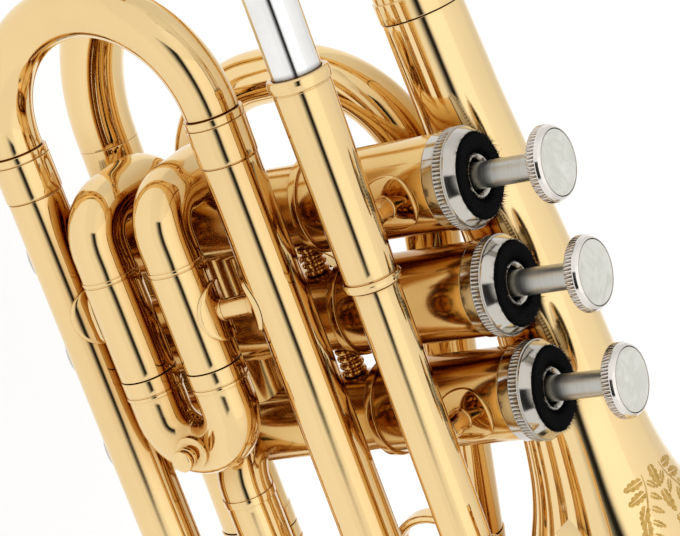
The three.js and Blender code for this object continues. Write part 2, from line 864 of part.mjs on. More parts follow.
// The thinner legs of a slide run inside the tubes that carry it.
const legRadiusIn = (tubeRadius) => tubeRadius - tubeWall - slideGap;

function slide(route, bowRadius, tubeRadius, legLength, sleeve) {
  const legRadius = legRadiusIn(tubeRadius);
  const bands = [{ from: 0, to: legLength + seatGap, radius: legRadius }];
  if (sleeve) {
    bands.push({ from: legLength + seatGap, to: legLength + seatGap + sleeve.length, radius: sleeve.radius });
  }
  const mirrored = bands.map(({ from, to, radius }) => ({
    from: route.length - to,
    to: route.length - from,
    radius,
  }));
  return tube(route, bowRadius, { bore: legRadius - tubeWall, bands: [...bands, ...mirrored] });
}

// Main tuning slide with the seat and ears of its water key
const mainSlideRoute = bowRoute(
  [legEndX + slideLegLength, legY, upperLegZ],
  [legEndX + slideLegLength, legY, lowerLegZ],
  -(slideLegLength + seatGap + crookStraight),
);
const keyZ = (upperLegZ + lowerLegZ) / 2;
const mainBowRadius = (upperLegZ - lowerLegZ) / 2;
const apexX = legEndX - seatGap - crookStraight - mainBowRadius;
const crookBackX = apexX - crookRadius;
const pivotZ = keyZ + keySpan;
const pivotCrookX = apexX + mainBowRadius - Math.sqrt(mainBowRadius ** 2 - keySpan ** 2);
const pivotX = pivotCrookX - crookRadius - keyPivotAbove;
const nippleX = crookBackX - keyNippleHeight;
const rearwards = (fromX, toX, z) => new Route([[fromX, legY, z], [toX, legY, z]], 0);
const crosswise = (halfWidth) => new Route([
  [pivotX, legY - halfWidth, pivotZ],
  [pivotX, legY + halfWidth, pivotZ],
], 0);

function mainTuningSlide() {
  const boreRadius = legRadiusIn(mainTubeRadius) - tubeWall;
  const body = slide(mainSlideRoute, crookRadius, mainTubeRadius, slideLegLength);
  const nipple = rod(rearwards(apexX - boreRadius - seatGap, nippleX, keyZ), keyNippleRadius, smallSides);
  const earInner = keyWidth / 2 + seatGap;
  const earOuter = earInner + keyEarThickness;
  const earFootX = pivotCrookX - boreRadius;
  const ears = [-1, 1].map((side) => block(
    [pivotX - keyEarHalfDepth, legY + Math.min(side * earInner, side * earOuter), pivotZ - keyEarHalfDepth],
    [earFootX, legY + Math.max(side * earInner, side * earOuter), pivotZ + keyEarHalfDepth],
  ));
  const pin = rod(crosswise(earOuter - hair), keyPinRadius, smallSides);
  const hole = rod(rearwards(apexX, nippleX - seatGap, keyZ), keyHoleRadius, smallSides);
  return shaped(body, { joined: [nipple, ...ears, pin], cut: [hole] });
}
add("main_tuning_slide", mainTuningSlide(), lacquer);

// Water key: a lever on its pin, with a cup that presses a cork on the nipple
const corkX = nippleX - seatGap;
const plateX = corkX - keyCorkThickness - seatGap;

function waterKey() {
  const backX = plateX - keyThickness;
  const outline = new THREE.Shape([
    [plateX, keyZ],
    [backX, keyZ],
    [backX, pivotZ],
    [backX - keyPadRise, pivotZ + keyPadLength],
    [plateX - keyPadRise, pivotZ + keyPadLength],
    [plateX, pivotZ],
  ].map(([x, z]) => new THREE.Vector2(x, z)));
  const plate = new THREE.ExtrudeGeometry(outline, { depth: keyWidth, bevelEnabled: false });
  plate.rotateX(Math.PI / 2).translate(0, legY + keyWidth / 2, 0);
  const cup = rod(rearwards(plateX + keyCupDepth, backX, keyZ), keyCupRadius, valveSides);
  const hollowRoute = rearwards(plateX + keyCupDepth + hair, plateX, keyZ);
  const hollow = rod(hollowRoute, keyCupRadius - tubeWall, valveSides);
  const barrel = rod(crosswise(keyWidth / 2), pivotX - plateX + hair, smallSides);
  const pinHole = rod(crosswise(keyWidth), keyPinRadius + seatGap, smallSides);
  return shaped(plate, { joined: [cup, barrel], cut: [hollow, pinHole] });
}
add("water_key", waterKey(), lacquer);
add("water_key_cork",
  rod(rearwards(corkX, corkX - keyCorkThickness, keyZ), keyCupRadius - tubeWall - seatGap, smallSides), cork);

// First valve slide
const keptOut = (valve, geometry) => shaped(geometry, { cut: [casingKeepOut(valve)] });
for (const [level, route] of [["upper", firstUpper], ["lower", firstLower]]) {
  const bands = [{ from: 0, to: firstTubeLength, radius: mainTubeRadius + ferruleThickness / 2 }];
  add(`first_slide_tube_${level}`, keptOut(firstValve, tube(route, mainTubeRadius, { bands })), lacquer);
}
const firstLegX = firstTubeEndX - firstLegLength;
const firstBowRadius = (firstUpperZ - firstLowerZ) / 2;
const firstSlideRoute = bowRoute(
  [firstLegX, firstSlideY, firstUpperZ],
  [firstLegX, firstSlideY, firstLowerZ],
  firstCrookX - firstLegX,
);
add("first_slide", slide(firstSlideRoute, firstCrookRadius, mainTubeRadius, firstLegLength, {
  length: firstCrookSleeveLength,
  radius: firstCrookRadius + ferruleThickness / 2,
}), lacquer);

function pullKnob() {
  const seat = firstCrookRadius + seatGap;
  const flangeTop = seat + knobFlangeHeight;
  const z = (firstUpperZ + firstLowerZ) / 2;
  const line = new Route([[knobX, firstSlideY, z], [knobX, firstSlideY - flangeTop - knobLength, z]], 0);
  const gripStart = flangeTop + knobLength * knobNeckShare;
  const groove = [flangeTop + knobLength * grooveStartShare, flangeTop + knobLength * grooveEndShare];
  const grip = turned([
    [0, firstCrookRadius - tubeWall],
    [knobFlangeRadius, firstCrookRadius - tubeWall],
    [knobFlangeRadius, flangeTop],
    [knobNeckRadius, flangeTop],
    [knobNeckRadius, gripStart],
    [knobRadius, gripStart],
    [knobRadius, groove[0]],
    [knobNeckRadius, groove[0]],
    [knobNeckRadius, groove[1]],
    [knobRadius, groove[1]],
    [knobRadius, line.length - tubeWall],
    [knobNeckRadius, line.length],
    [0, line.length],
  ], smallSides);
  return shaped(bentOver(grip, line), { cut: [rod(firstSlideRoute, seat)] });
}
add("first_slide_pull_knob", pullKnob(), lacquer);

// Second valve slide
const secondLegY = secondTubeEndY - secondLegLength;
const secondBow = (secondUpperZ - secondLowerZ) / 2;
const secondSlideRoute = new Route([
  [0, secondLegY, secondUpperZ],
  [0, secondCrookY + secondBow, secondUpperZ],
  [0, secondCrookY + secondBow, secondLowerZ],
  [0, secondLegY, secondLowerZ],
], secondBow - hair);
add("second_slide", slide(secondSlideRoute, secondTubeRadius, secondTubeRadius, secondLegLength, {
  length: secondSleeveLength,
  radius: secondTubeRadius + ferruleThickness,
}), lacquer);

// Third valve slide with its finger ring
const thirdFerruleRadius = thirdTubeRadius + ferruleThickness;
for (const [level, route] of [["upper", thirdUpper], ["lower", thirdLower]]) {
  const bands = [{ from: route.length - frontFerruleLength, to: route.length, radius: thirdFerruleRadius }];
  add(`third_slide_tube_${level}`, keptOut(thirdValve, tube(route, thirdTubeRadius, { bands })), lacquer);
}
const thirdLegX = thirdTubeEndX - thirdLegLength;
const thirdSlideRoute = bowRoute(
  [thirdLegX, thirdY, thirdUpperZ],
  [thirdLegX, thirdY, thirdLowerZ],
  thirdCrookX - thirdLegX,
);

function thirdSlide() {
  const body = slide(thirdSlideRoute, thirdTubeRadius, thirdTubeRadius, thirdLegLength, {
    length: frontFerruleLength,
    radius: thirdFerruleRadius,
  });
  const ringOuter = ringInnerRadius + ringSection;
  const tubeTopZ = thirdUpperZ + thirdTubeRadius;
  const ring = turned(closed([
    [ringOuter, -ringWidth / 2],
    [ringOuter, ringWidth / 2],
    [ringInnerRadius, ringWidth / 2],
    [ringInnerRadius, -ringWidth / 2],
  ]), valveSides).translate(ringX, thirdY, tubeTopZ + ringOuter);
  const foot = block(
    [ringX - ringWidth / 2, thirdY - ringWidth / 2, tubeTopZ - tubeWall],
    [ringX + ringWidth / 2, thirdY + ringWidth / 2, tubeTopZ + ringSection * ringFootShare],
  );
  return shaped(body, { joined: [shaped(ring, { joined: [foot] })] });
}
add("third_slide", thirdSlide(), lacquer);

// Inlet of the third valve
const inletRingFrom = inlet.length - (frontBowStartX - inletRingX);
const inletRing = {
  from: inletRingFrom,
  to: inletRingFrom + inletRingWidth,
  radius: inletRadius + ferruleThickness,
};
add("valve_3_inlet", keptOut(thirdValve, tube(inlet, inletRadius, { bands: [inletRing] })), lacquer);

// Left side: out of the first valve, over and forward, round the front and back under the bell
const [, , afterTurn] = loop.pieces;
const loopAt = (distance) => (distance > afterTurn.from - hair ? loopRadius : exitRadius);
add("left_loop", keptOut(firstValve, tube(loop, loopAt)), lacquer);

const leftFrontX = returnFrontX + leftBowReach;
const returnSlope = (returnFrontZ - returnTailZ) / (returnFrontX - returnTailX);
const leftStart = loop.frameAt(loop.length + seatGap).centre;
const leftBow = new Route([
  leftStart.toArray(),
  [leftFrontX, leftStart.y, leftStart.z + loopSlope * (leftFrontX - leftStart.x)],
  [leftFrontX, bellY, returnFrontZ + returnSlope * (leftFrontX - returnFrontX)],
  [returnFrontX + seatGap, bellY, returnFrontZ],
], leftBowRadius);
add("left_front_bow", tube(leftBow, loopRadius, {
  bands: endBands(leftBow, frontFerruleLength, loopRadius + ferruleThickness * 2),
}), lacquer);

const returnLine = new Route([
  [returnTailX, bellY, returnTailZ],
  [returnFrontX, bellY, returnFrontZ],
], 0);
const returnAt = (distance) =>
  returnTailRadius + (returnTubeRadius - returnTailRadius) * (distance / returnLine.length);
add("return_tube", tube(returnLine, returnAt), lacquer);

// Bell and its rear bow
const bellSlope = (bellZ - bellTailZ) / (bellKneeX - bellTailX);
const bellLineAt = (x) => [x, bellY, bellTailZ + bellSlope * (x - bellTailX)];
const returnLineAt = (x) => [x, bellY, returnTailZ + returnSlope * (x - returnTailX)];
const bowBackX = returnTailX - seatGap - bellBowReach;
const bellBow = new Route([
  bellLineAt(bellJointX - seatGap),
  bellLineAt(bowBackX),
  returnLineAt(bowBackX),
  returnLineAt(returnTailX - seatGap),
], [bellBowUpperBend, bellBowLowerBend]);
const bellBowAt = (distance) =>
  bellJointRadius + (returnTailRadius - bellJointRadius) * (distance / bellBow.length);
add("bell_rear_bow", tube(bellBow, bellBowAt, {
  bands: [
    { from: 0, to: frontFerruleLength, radius: bellJointRadius + ferruleThickness },
    {
      from: bellBow.length - frontFerruleLength,
      to: bellBow.length,
      radius: returnTailRadius + ferruleThickness * 2,
    },
  ],
  sides: bellBowSides,
}), lacquer);

const bellRoute = new Route([
  bellLineAt(bellJointX),
  bellLineAt(bellKneeX),
  [bellRimX, bellY, bellZ],
], bellKneeBend);
const bellTailLength = (bellTailX - bellJointX) * Math.hypot(1, bellSlope);
const bellOutline = [
  [bellJointRadius, 0],
  ...bellOutlineShares.map(([reach, girth]) => [
    bellTailRadius + girth * (bellRimRadius - bellTailRadius),
    bellTailLength + (bellRoute.length - bellTailLength) * reach,
  ]),
];

function bellRadiusAt(distance) {
  const next = bellOutline.findIndex(([, mark]) => mark > distance);
  const [low, high] = [bellOutline[next - 1], bellOutline[next]];
  const share = (distance - low[1]) / (high[1] - low[1]);
  return low[0] + share * (high[0] - low[0]);
}

function bell() {
  const length = bellRoute.length;
  const outside = [
    ...bellOutline,
    [bellRimRadius + bellRimBead, length - bellRimBead * beadShares[0]],
    [bellRimRadius + bellRimBead, length - bellRimBead * beadShares[1]],
    [bellRimRadius, length],
  ];
  const inside = [
    [bellRimRadius - bellRimBead, length],
    ...bellOutline.toReversed().map(([radius, mark]) => [radius - tubeWall * 2, mark]),
  ];
  return bentOver(turned(closed([...outside, ...inside]), bellSides), bellRoute);
}
add("bell", bell(), lacquer);

// Braces: a post between two round things, with a thin round flange bent over each that has one
const crossLine = (end, radius) => {
  const reach = end.heading.clone().multiplyScalar(radius * braceReachShare);
  const hint = Math.abs(end.heading.z) > Math.SQRT1_2 ? forward : up;
  const ends = [end.centre.clone().sub(reach), end.centre.clone().add(reach)];
  return rod(new Route(ends.map((point) => point.toArray()), 0, hint), radius, end.sides);
};

function brace(ends, postRadius, flangeRadius) {
  const [from, to] = ends.map((end) => end.centre);
  const middle = new Route([from.toArray(), to.toArray()], 0, ends[0].heading);
  const flanges = ends.filter((end) => end.flange).map((end) => {
    const other = end === ends[0] ? to : from;
    const skinRadius = end.radius + seatGap + braceFlangeThickness;
    const outward = other.clone().sub(end.centre).setLength(skinRadius).add(end.centre);
    const plugRoute = new Route([end.centre.toArray(), outward.toArray()], 0, end.heading);
    const plug = rod(plugRoute, flangeRadius, braceSides);
    return shaped(crossLine(end, skinRadius), { within: [plug] });
  });
  const hollows = ends.map((end) => crossLine(end, end.radius + seatGap));
  return shaped(rod(middle, postRadius, braceSides), { joined: flanges, cut: hollows });
}

const onCasing = (valve, z) => ({
  centre: new THREE.Vector3(valve.x, 0, z),
  heading: up,
  radius: upperCasingRadius,
  sides: valveSides,
  flange: true,
});
const onTube = (x, y, z, { radius = mainTubeRadius, sides = tubeSides, flange = true }) => ({
  centre: new THREE.Vector3(x, y, z),
  heading: forward,
  radius,
  sides,
  flange,
});

for (const [valve, pipe] of [
  [firstValve, { radius: receiverMouthRadius, sides: valveSides, flange: false }],
  [thirdValve, { radius: leadpipeRadius, flange: false }],
]) {
  const ends = [onCasing(valve, leadpipeBraceZ), onTube(valve.x, leadpipeY, leadpipeZ, pipe)];
  add(`leadpipe_brace_${valve.number}`, brace(ends, bracePostRadius, braceFlangeRadius), lacquer);
}

for (const [name, x, slideZ, legZ] of [
  ["slide_brace_upper", upperSlideBraceX, firstUpperZ, upperLegZ],
  ["slide_brace_lower", lowerSlideBraceX, firstLowerZ, lowerLegZ],
]) {
  const radius = mainTubeRadius + ferruleThickness / 2;
  const ends = [onTube(x, firstSlideY, slideZ, { radius }), onTube(x, legY, legZ, {})];
  add(name, brace(ends, bracePostRadius, slideBraceFlangeRadius), lacquer);
}

for (const valve of [firstValve, thirdValve]) {
  const distance = valve.x - bellJointX;
  const { centre, heading } = bellRoute.frameAt(distance);
  const radius = bellRadiusAt(distance + braceFlangeRadius);
  const bellEnd = { centre, heading, radius, sides: bellSides, flange: false };
  const casingEnd = onCasing(valve, bellBraceZ);
  add(`bell_brace_${valve.number}`, brace([casingEnd, bellEnd], bellPostRadius, braceFlangeRadius), lacquer);
}

// Hook for the little finger of the right hand
function fingerHook() {
  const outer = hookInner + hookThickness;
  const footZ = leadpipeZ + leadpipeRadius - hookSink;
  const bendX = hookFootX + hookFootLength;
  const outline = new THREE.Shape();
  outline.moveTo(hookFootX, footZ);
  outline.lineTo(bendX, footZ);
  outline.absarc(bendX, footZ + outer, outer, -Math.PI / 2, hookEndAngle, false);
  outline.absarc(bendX, footZ + outer, hookInner, hookEndAngle, -Math.PI / 2, true);
  outline.lineTo(hookFootX, footZ + hookThickness);
  const extent = { depth: hookWidth, bevelEnabled: false, curveSegments: smallSides };
  const strip = new THREE.ExtrudeGeometry(outline, extent);
  strip.rotateX(Math.PI / 2).translate(0, leadpipeY + hookWidth / 2, 0);
  const seat = rod(along(receiverEndX, frontBowStartX, leadpipeY, leadpipeZ), leadpipeRadius + seatGap);
  return shaped(strip, { cut: [seat] });
}
add("finger_hook", fingerHook(), lacquer);

export default trumpet;
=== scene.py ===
import random
from math import ceil, copysign, cos, hypot, pi, radians, sin, sqrt, tan

import bmesh
import bpy
from mathutils import Matrix, Vector, noise


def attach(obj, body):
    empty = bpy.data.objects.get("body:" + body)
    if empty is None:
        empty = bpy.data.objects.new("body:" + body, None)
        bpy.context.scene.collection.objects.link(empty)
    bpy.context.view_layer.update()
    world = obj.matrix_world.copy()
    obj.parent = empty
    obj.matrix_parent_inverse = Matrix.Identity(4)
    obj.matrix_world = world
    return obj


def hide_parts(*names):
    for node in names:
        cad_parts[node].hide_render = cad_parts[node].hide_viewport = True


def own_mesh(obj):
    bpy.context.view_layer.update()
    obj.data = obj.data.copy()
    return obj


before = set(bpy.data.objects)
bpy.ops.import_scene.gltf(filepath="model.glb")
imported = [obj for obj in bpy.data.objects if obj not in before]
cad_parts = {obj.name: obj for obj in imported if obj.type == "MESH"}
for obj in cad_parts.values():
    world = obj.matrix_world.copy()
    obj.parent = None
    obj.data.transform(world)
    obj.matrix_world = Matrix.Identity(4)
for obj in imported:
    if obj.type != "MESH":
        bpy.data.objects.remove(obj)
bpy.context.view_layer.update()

MM = 0.001
TURN = 2 * pi
UP = Vector((0, 0, 1))
FORWARD = Vector((1, 0, 0))
LEFT = Vector((0, 1, 0))

# Fineness
TUBE_SIDES = 64
BELL_SIDES = 160
VALVE_SIDES = 96
KNURL_SIDES = 480
BUTTON_SIDES = 420
FELT_SIDES = 160
POST_SIDES = 48
SMALL_SIDES = 32
STEP = 1.6
FILLET_STEPS = 4
SEAT_HALVINGS = 22
NEARLY_STRAIGHT = radians(176)
SHARP_EDGE = radians(45)

# Edges, walls and gaps
FILLET = 0.18
HAIR = 0.01
WALL = 0.6
GAP = 0.3
FERRULE = 0.3
BEAD_WIDTH = 0.8
BEAD_GROOVE = 0.4
BEAD_RISE = 0.1
UNDERCUT = 0.3

# A tube that enters a casing ends in the casing's wall; its outline starts a little outside
SEAT = 9.35
SEAT_MARGIN = 9.9

# Valve block
VALVE_XS = {1: -27, 2: 0, 3: 27}
CASING_BORE = 8.7
LOWER_RADIUS = 10
UPPER_RADIUS = 11.2
STEP_Z = 15
BEAD_RADIUS = 11.85
SHOULDER_Z = 52
FOOT_Z = -58
CAP_TOP_Z = 60.6
BUTTON_Z = 77.9
KNUCKLE_Z = -17.5
KNUCKLE_RADIUS = 6.25
STAY_Z = 8.3
STAY_RIBS = 4
STAY_SUNK = 0.4

# Tubes
LEAD_Y = -24.5
LEAD_Z = 40.2
LEAD_RADIUS = 5.7
LEG_Y = -24
UPPER_LEG_Z = 13.9
LOWER_LEG_Z = -45.1
MAIN_RADIUS = 6.8
FRONT_X = 62
LEG_END_X = -60


class Route:
    """A centre line of straight runs joined by round bends."""

    def __init__(self, corners, bend=0, hint=UP):
        points = [Vector(corner) for corner in corners]
        heading = (points[1] - points[0]).normalized()
        across = (Vector(hint) - heading * heading.dot(Vector(hint))).normalized()
        self.pieces = []
        self.length = 0
        self.end = (points[0], heading, across)
        for i in range(1, len(points)):
            run = points[i] - self.end[0]
            if i == len(points) - 1:
                self.add(run.length, None, 0)
                break
            out = (points[i + 1] - points[i]).normalized()
            turn = self.end[1].angle(out)
            radius = bend[i - 1] if isinstance(bend, list) else bend
            axis = self.end[1].cross(out).normalized()
            self.add(run.length - radius * tan(turn / 2), None, 0)
            self.add(radius * turn, axis, turn)

    def add(self, length, axis, turn):
        self.pieces.append((self.length, length, axis, turn, self.end))
        self.length += length
        self.end = self.frame_at(self.length)

    def frame_at(self, distance):
        """Centre, heading and across direction at a distance along the line."""
        piece = self.pieces[0]
        for other in self.pieces:
            if distance >= other[0]:
                piece = other
        start, length, axis, turn, (centre, heading, across) = piece
        if axis is None:
            return centre + heading * (distance - start), heading.copy(), across.copy()
        inward = axis.cross(heading)
        hub = centre + inward * (length / turn)
        spin = Matrix.Rotation(turn * (distance - start) / length, 3, axis)
        return hub + spin @ (centre - hub), spin @ heading, spin @ across


def line(start, end, hint=UP):
    return Route([start, end], hint=hint)


def upright(x):
    return line((x, 0, 0), (x, 0, 1), hint=FORWARD)


def bow_route(start, end, reach):
    """A half-round bow from one tube end to another beside it, both facing the same way."""
    radius = hypot(end[1] - start[1], end[2] - start[2]) / 2
    corner = start[0] + copysign(radius + abs(reach) - HAIR, reach)
    return Route([start, (corner, *start[1:]), (corner, *end[1:]), end], radius - HAIR)


def filleted(outline, closed, fillet):
    """The outline with each corner rounded. A point may give its own fillet as a third value."""
    out = []
    count = len(outline)
    for i, point in enumerate(outline):
        here = Vector(point[:2])
        size = point[2] if len(point) > 2 else fillet
        is_end = not closed and i in (0, count - 1)
        before = Vector(outline[i - 1][:2]) - here
        after = Vector(outline[(i + 1) % count][:2]) - here
        angle = before.angle(after, pi)
        if is_end or size <= 0 or angle > NEARLY_STRAIGHT:
            out.append(here)
            continue
        reach = min(size / tan(angle / 2), before.length * 0.45, after.length * 0.45)
        start = here + before.normalized() * reach
        end = here + after.normalized() * reach
        for step in range(FILLET_STEPS + 1):
            share = step / FILLET_STEPS
            low = start.lerp(here, share)
            high = here.lerp(end, share)
            out.append(low.lerp(high, share))
    return out


def divided(points, closed, step):
    """The outline with points added, so that none lies further than step along the route from the next."""
    out = []
    count = len(points)
    last = count if closed else count - 1
    for i in range(last):
        here, there = points[i], points[(i + 1) % count]
        parts = max(1, ceil(abs(there[1] - here[1]) / step))
        out += [here.lerp(there, part / parts) for part in range(parts)]
    if not closed:
        out.append(points[-1])
    return out


def placed(name, data):
    """Adds an object to the scene."""
    thing = bpy.data.objects.new(name, data)
    bpy.context.scene.collection.objects.link(thing)
    return thing


def meshed(name, bm, material):
    mesh = bpy.data.meshes.new(name)
    bm.to_mesh(mesh)
    bm.free()
    mesh.materials.append(material)
    return placed(name, mesh)


def mesh_object(name, bm, material, body, node=None):
    """Makes a smooth piece that rides on the body and may stand in for a solid, its node."""
    bmesh.ops.recalc_face_normals(bm, faces=bm.faces)
    piece = meshed(name, bm, material)
    piece.data.shade_smooth()
    piece.data.set_sharp_from_angle(angle=SHARP_EDGE)
    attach(piece, body)
    if node:
        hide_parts(node)
    return piece


def wall_point(route, distance, angle, size):
    centre, heading, across = route.frame_at(distance)
    return centre + (across * cos(angle) + across.cross(heading) * sin(angle)) * size


def seated_point(route, outside, axis_end, casing_x, angle, size):
    """The point where a line along the tube's wall enters the wall of the casing that the route ends in."""
    inside = axis_end
    for _ in range(SEAT_HALVINGS):
        middle = (inside + outside) / 2
        spot = wall_point(route, middle, angle, size)
        if hypot(spot.x - casing_x, spot.y) < SEAT:
            inside = middle
        else:
            outside = middle
    return spot


def joined(bm, rings, capped=False):
    """Adds the faces between each ring of corners and the next. A corner used twice makes a triangle."""
    for low, high in zip(rings, rings[1:]):
        for i in range(len(low)):
            j = (i + 1) % len(low)
            corners = list(dict.fromkeys((low[i], low[j], high[j], high[i])))
            if len(corners) > 2:
                bm.faces.new(corners)
    if capped:
        bm.faces.new(rings[0])
        bm.faces.new(reversed(rings[-1]))


def swept(bm, outline, route, sides=TUBE_SIDES, fillet=FILLET, step=STEP, shape=None, seats=(None, None)):
    """Adds a solid of revolution about the route, from an outline of radius and distance. One that
    starts on the axis also ends there. shape(angle, distance, radius) may change the radius. seats
    gives the x of the casing that the route starts or ends in, where it does."""
    closed = outline[0][0] > 0
    points = divided(filleted(outline, closed, fillet), closed, step)
    rings = []
    for radius, distance in points:
        if not radius:
            rings.append([bm.verts.new(wall_point(route, distance, 0, 0) * MM)] * sides)
            continue
        ring = []
        for i in range(sides):
            angle = TURN * i / sides
            size = shape(angle, distance, radius) if shape else radius
            spot = wall_point(route, distance, angle, size)
            if seats[0] is not None and distance <= SEAT_MARGIN:
                spot = seated_point(route, distance, 0, seats[0], angle, size)
            if seats[1] is not None and distance >= route.length - SEAT_MARGIN:
                spot = seated_point(route, distance, route.length, seats[1], angle, size)
            ring.append(bm.verts.new(spot * MM))
        rings.append(ring)
    joined(bm, rings + rings[:1] if closed else rings)


def sweep(name, outline, route, material, body, node=None, **options):
    bm = bmesh.new()
    swept(bm, outline, route, **options)
    mesh_object(name, bm, material, body, node)


def stretch(size_at, start, end, parts):
    """Points of an outline from one place to another, with the radius that size_at gives."""
    places = [start + (end - start) * i / parts for i in range(parts + 1)]
    return [(size_at(place), place) for place in places]


def tube_outline(start, end, radius, bands=(), bore=None):
    """Outside with raised or thinner bands, then the bore. radius may be a function of distance."""
    outer_at = radius if callable(radius) else lambda distance: radius
    bore_at = (lambda distance: bore) if bore else (lambda distance: outer_at(distance) - WALL)
    parts = 24 if callable(radius) else 1
    outside = []
    mark = start
    for low, high, size in sorted(bands):
        if low > mark:
            outside += stretch(outer_at, mark, low, parts)
        outside += [(size, low), (size, high)]
        mark = high
    if mark < end:
        outside += stretch(outer_at, mark, end, parts)
    return outside + stretch(bore_at, start, end, parts)[::-1]


def tube(name, route, radius, node, bands=(), body="horn", material=None, bore=None, seats=(None, None)):
    """A tube along the route. Where it ends in a casing, seats gives the casing's x."""
    start = 0 if seats[0] is None else SEAT_MARGIN
    end = route.length - (0 if seats[1] is None else SEAT_MARGIN)
    outline = tube_outline(start, end, radius, bands, bore)
    seated = [place for place, seat in zip((start, end), seats) if seat is not None]
    outline = [(*point, 0) if point[1] in seated else point for point in outline]
    sweep(name, outline, route, material or BRASS, body, node, seats=seats)


# Materials.
# Painted shade: the dark brown that brass is mixed towards between close tubes
GAP_SHADE = (0.52, 0.30, 0.01, 1)
# Painted shade: the near-black that plating is mixed towards in the grooves of a knurl
GROOVE_SHADE = (0.11, 0.075, 0.045, 1)
GROOVE_REACH = 1.4
OPENNESS_SAMPLES = 6

# The colour sockets of a mix node
MIX_FIRST, MIX_SECOND, MIX_RESULT = 6, 7, 2


class Nodes:
    """Short ways to add nodes to the tree of a material or of the world."""

    def __init__(self, tree):
        self.tree = tree

    def node(self, kind, inputs=(), **settings):
        made = self.tree.nodes.new(f"ShaderNode{kind}")
        for key, value in settings.items():
            setattr(made, key, value)
        for key, value in dict(inputs).items():
            self.put(made.inputs[key], value)
        return made

    def put(self, socket, value):
        if isinstance(value, bpy.types.NodeSocket):
            self.tree.links.new(value, socket)
        else:
            socket.default_value = value

    def maths(self, operation, *values):
        return self.node("Math", dict(enumerate(values)), operation=operation).outputs["Value"]


class Look(Nodes):
    """A material, and what most materials here are made of."""

    def __init__(self, name):
        self.material = bpy.data.materials.new(f"look_{name}")
        self.material.use_nodes = True
        super().__init__(self.material.node_tree)
        self.shader = self.tree.nodes["Principled BSDF"]
        self.position = self.node("TexCoord").outputs["Object"]

    def noise(self, scale, detail=3, rough=0.5, distortion=0, vector=None):
        return self.node("TexNoise", {
            "Vector": vector or self.position, "Scale": scale, "Detail": detail, "Roughness": rough,
            "Distortion": distortion}).outputs["Fac"]

    def ramp(self, value, stops):
        made = self.node("ValToRGB", {"Fac": value})
        elements = made.color_ramp.elements
        while len(elements) < len(stops):
            elements.new(0.5)
        for element, (place, colour) in zip(elements, stops):
            element.position = place
            element.color = (*colour, 1) if isinstance(colour, tuple) else (colour, colour, colour, 1)
        return made.outputs["Color"]

    def mix(self, factor, first, second, blend="MIX"):
        inputs = {"Factor": factor, MIX_FIRST: first, MIX_SECOND: second}
        return self.node("Mix", inputs, data_type="RGBA", blend_type=blend).outputs[MIX_RESULT]

    def openness(self, reach):
        """1 in the open, and less where other surfaces stand within reach."""
        inputs = {"Distance": reach * MM}
        return self.node("AmbientOcclusion", inputs, samples=OPENNESS_SAMPLES).outputs["AO"]

    def span(self, value, low, high):
        inputs = {"Value": value, "To Min": low, "To Max": high}
        return self.node("MapRange", inputs).outputs["Result"]

    def bump(self, height, strength, distance, normal=None):
        inputs = {"Height": height, "Strength": strength, "Distance": distance}
        if normal:
            inputs["Normal"] = normal
        return self.node("Bump", inputs).outputs["Normal"]

    def set(self, **values):
        for key, value in values.items():
            self.put(self.shader.inputs[key.replace("_", " ")], value)
        return self.material


def scaled(colour, share):
    return tuple(level * share for level in colour)


def brass(name, colour, rough_low, rough_high, mottle, close):
    """Lacquered brass, with painted shade that deepens its colour where other tubes stand close."""
    n = Look(name)
    tone = n.ramp(n.noise(mottle, 4, 0.6), [
        (0.3, scaled(colour, 0.95)), (0.5, colour), (0.75, scaled(colour, 1.03))])
    # Painted shade: the colour is multiplied towards a dark brown where other tubes hem the surface in
    gap_shade = n.ramp(n.openness(close), [(0.36, 1.0), (0.90, 0.0)])
    tone = n.mix(gap_shade, tone, n.mix(1.0, tone, GAP_SHADE, "MULTIPLY"))
    rough = n.span(n.noise(180, 4, 0.6), rough_low, rough_high)
    waves = n.bump(n.noise(55, 2, 0.4), 0.04, 0.002)
    grain = n.bump(n.noise(2600, 3, 0.6), 0.02, 0.0001, waves)
    return n.set(Base_Color=tone, Metallic=1.0, Roughness=rough, Normal=grain, Coat_Weight=0.25,
                 Coat_Roughness=0.06)


def plated(name, colour, rough_low, rough_high, grain):
    """Polished plating, with painted shade that darkens the grooves of a knurl."""
    n = Look(name)
    tone = n.ramp(n.noise(90, 4, 0.6), [(0.35, scaled(colour, 0.93)), (0.65, colour)])
    # Painted shade: darker colour where the surface is hemmed in, as in the knurl's grooves
    groove_shade = n.ramp(n.openness(GROOVE_REACH), [(0.60, 1.0), (0.96, 0.0)])
    tone = n.mix(groove_shade, tone, GROOVE_SHADE)
    rough = n.span(n.noise(320, 5, 0.6), rough_low, rough_high)
    normal = n.bump(n.noise(1800, 4, 0.6), grain, 0.0002)
    return n.set(Base_Color=tone, Metallic=1.0, Roughness=rough, Normal=normal)


def brushed(name, colour, rough_low, rough_high, scales):
    n = Look(name)
    stretched = n.node("Mapping", {"Vector": n.position, "Scale": scales}).outputs["Vector"]
    lines = n.noise(1, 4, 0.6, vector=stretched)
    tone = n.ramp(lines, [(0.3, scaled(colour, 0.86)), (0.7, colour)])
    rough = n.span(lines, rough_low, rough_high)
    normal = n.bump(lines, 0.12, 0.0003)
    return n.set(Base_Color=tone, Metallic=1.0, Roughness=rough, Normal=normal)


def felt_material():
    n = Look("felt")
    fuzz = n.noise(2600, 6, 0.75)
    tone = n.ramp(fuzz, [
        (0.35, (0.0005, 0.0005, 0.0005)), (0.68, (0.0035, 0.003, 0.003)), (0.78, (0.03, 0.027, 0.024))])
    normal = n.bump(fuzz, 1.0, 0.0009)
    return n.set(Base_Color=tone, Roughness=0.95, Sheen_Weight=0.02, Sheen_Roughness=0.6,
                 Specular_IOR_Level=0.05, Normal=normal)


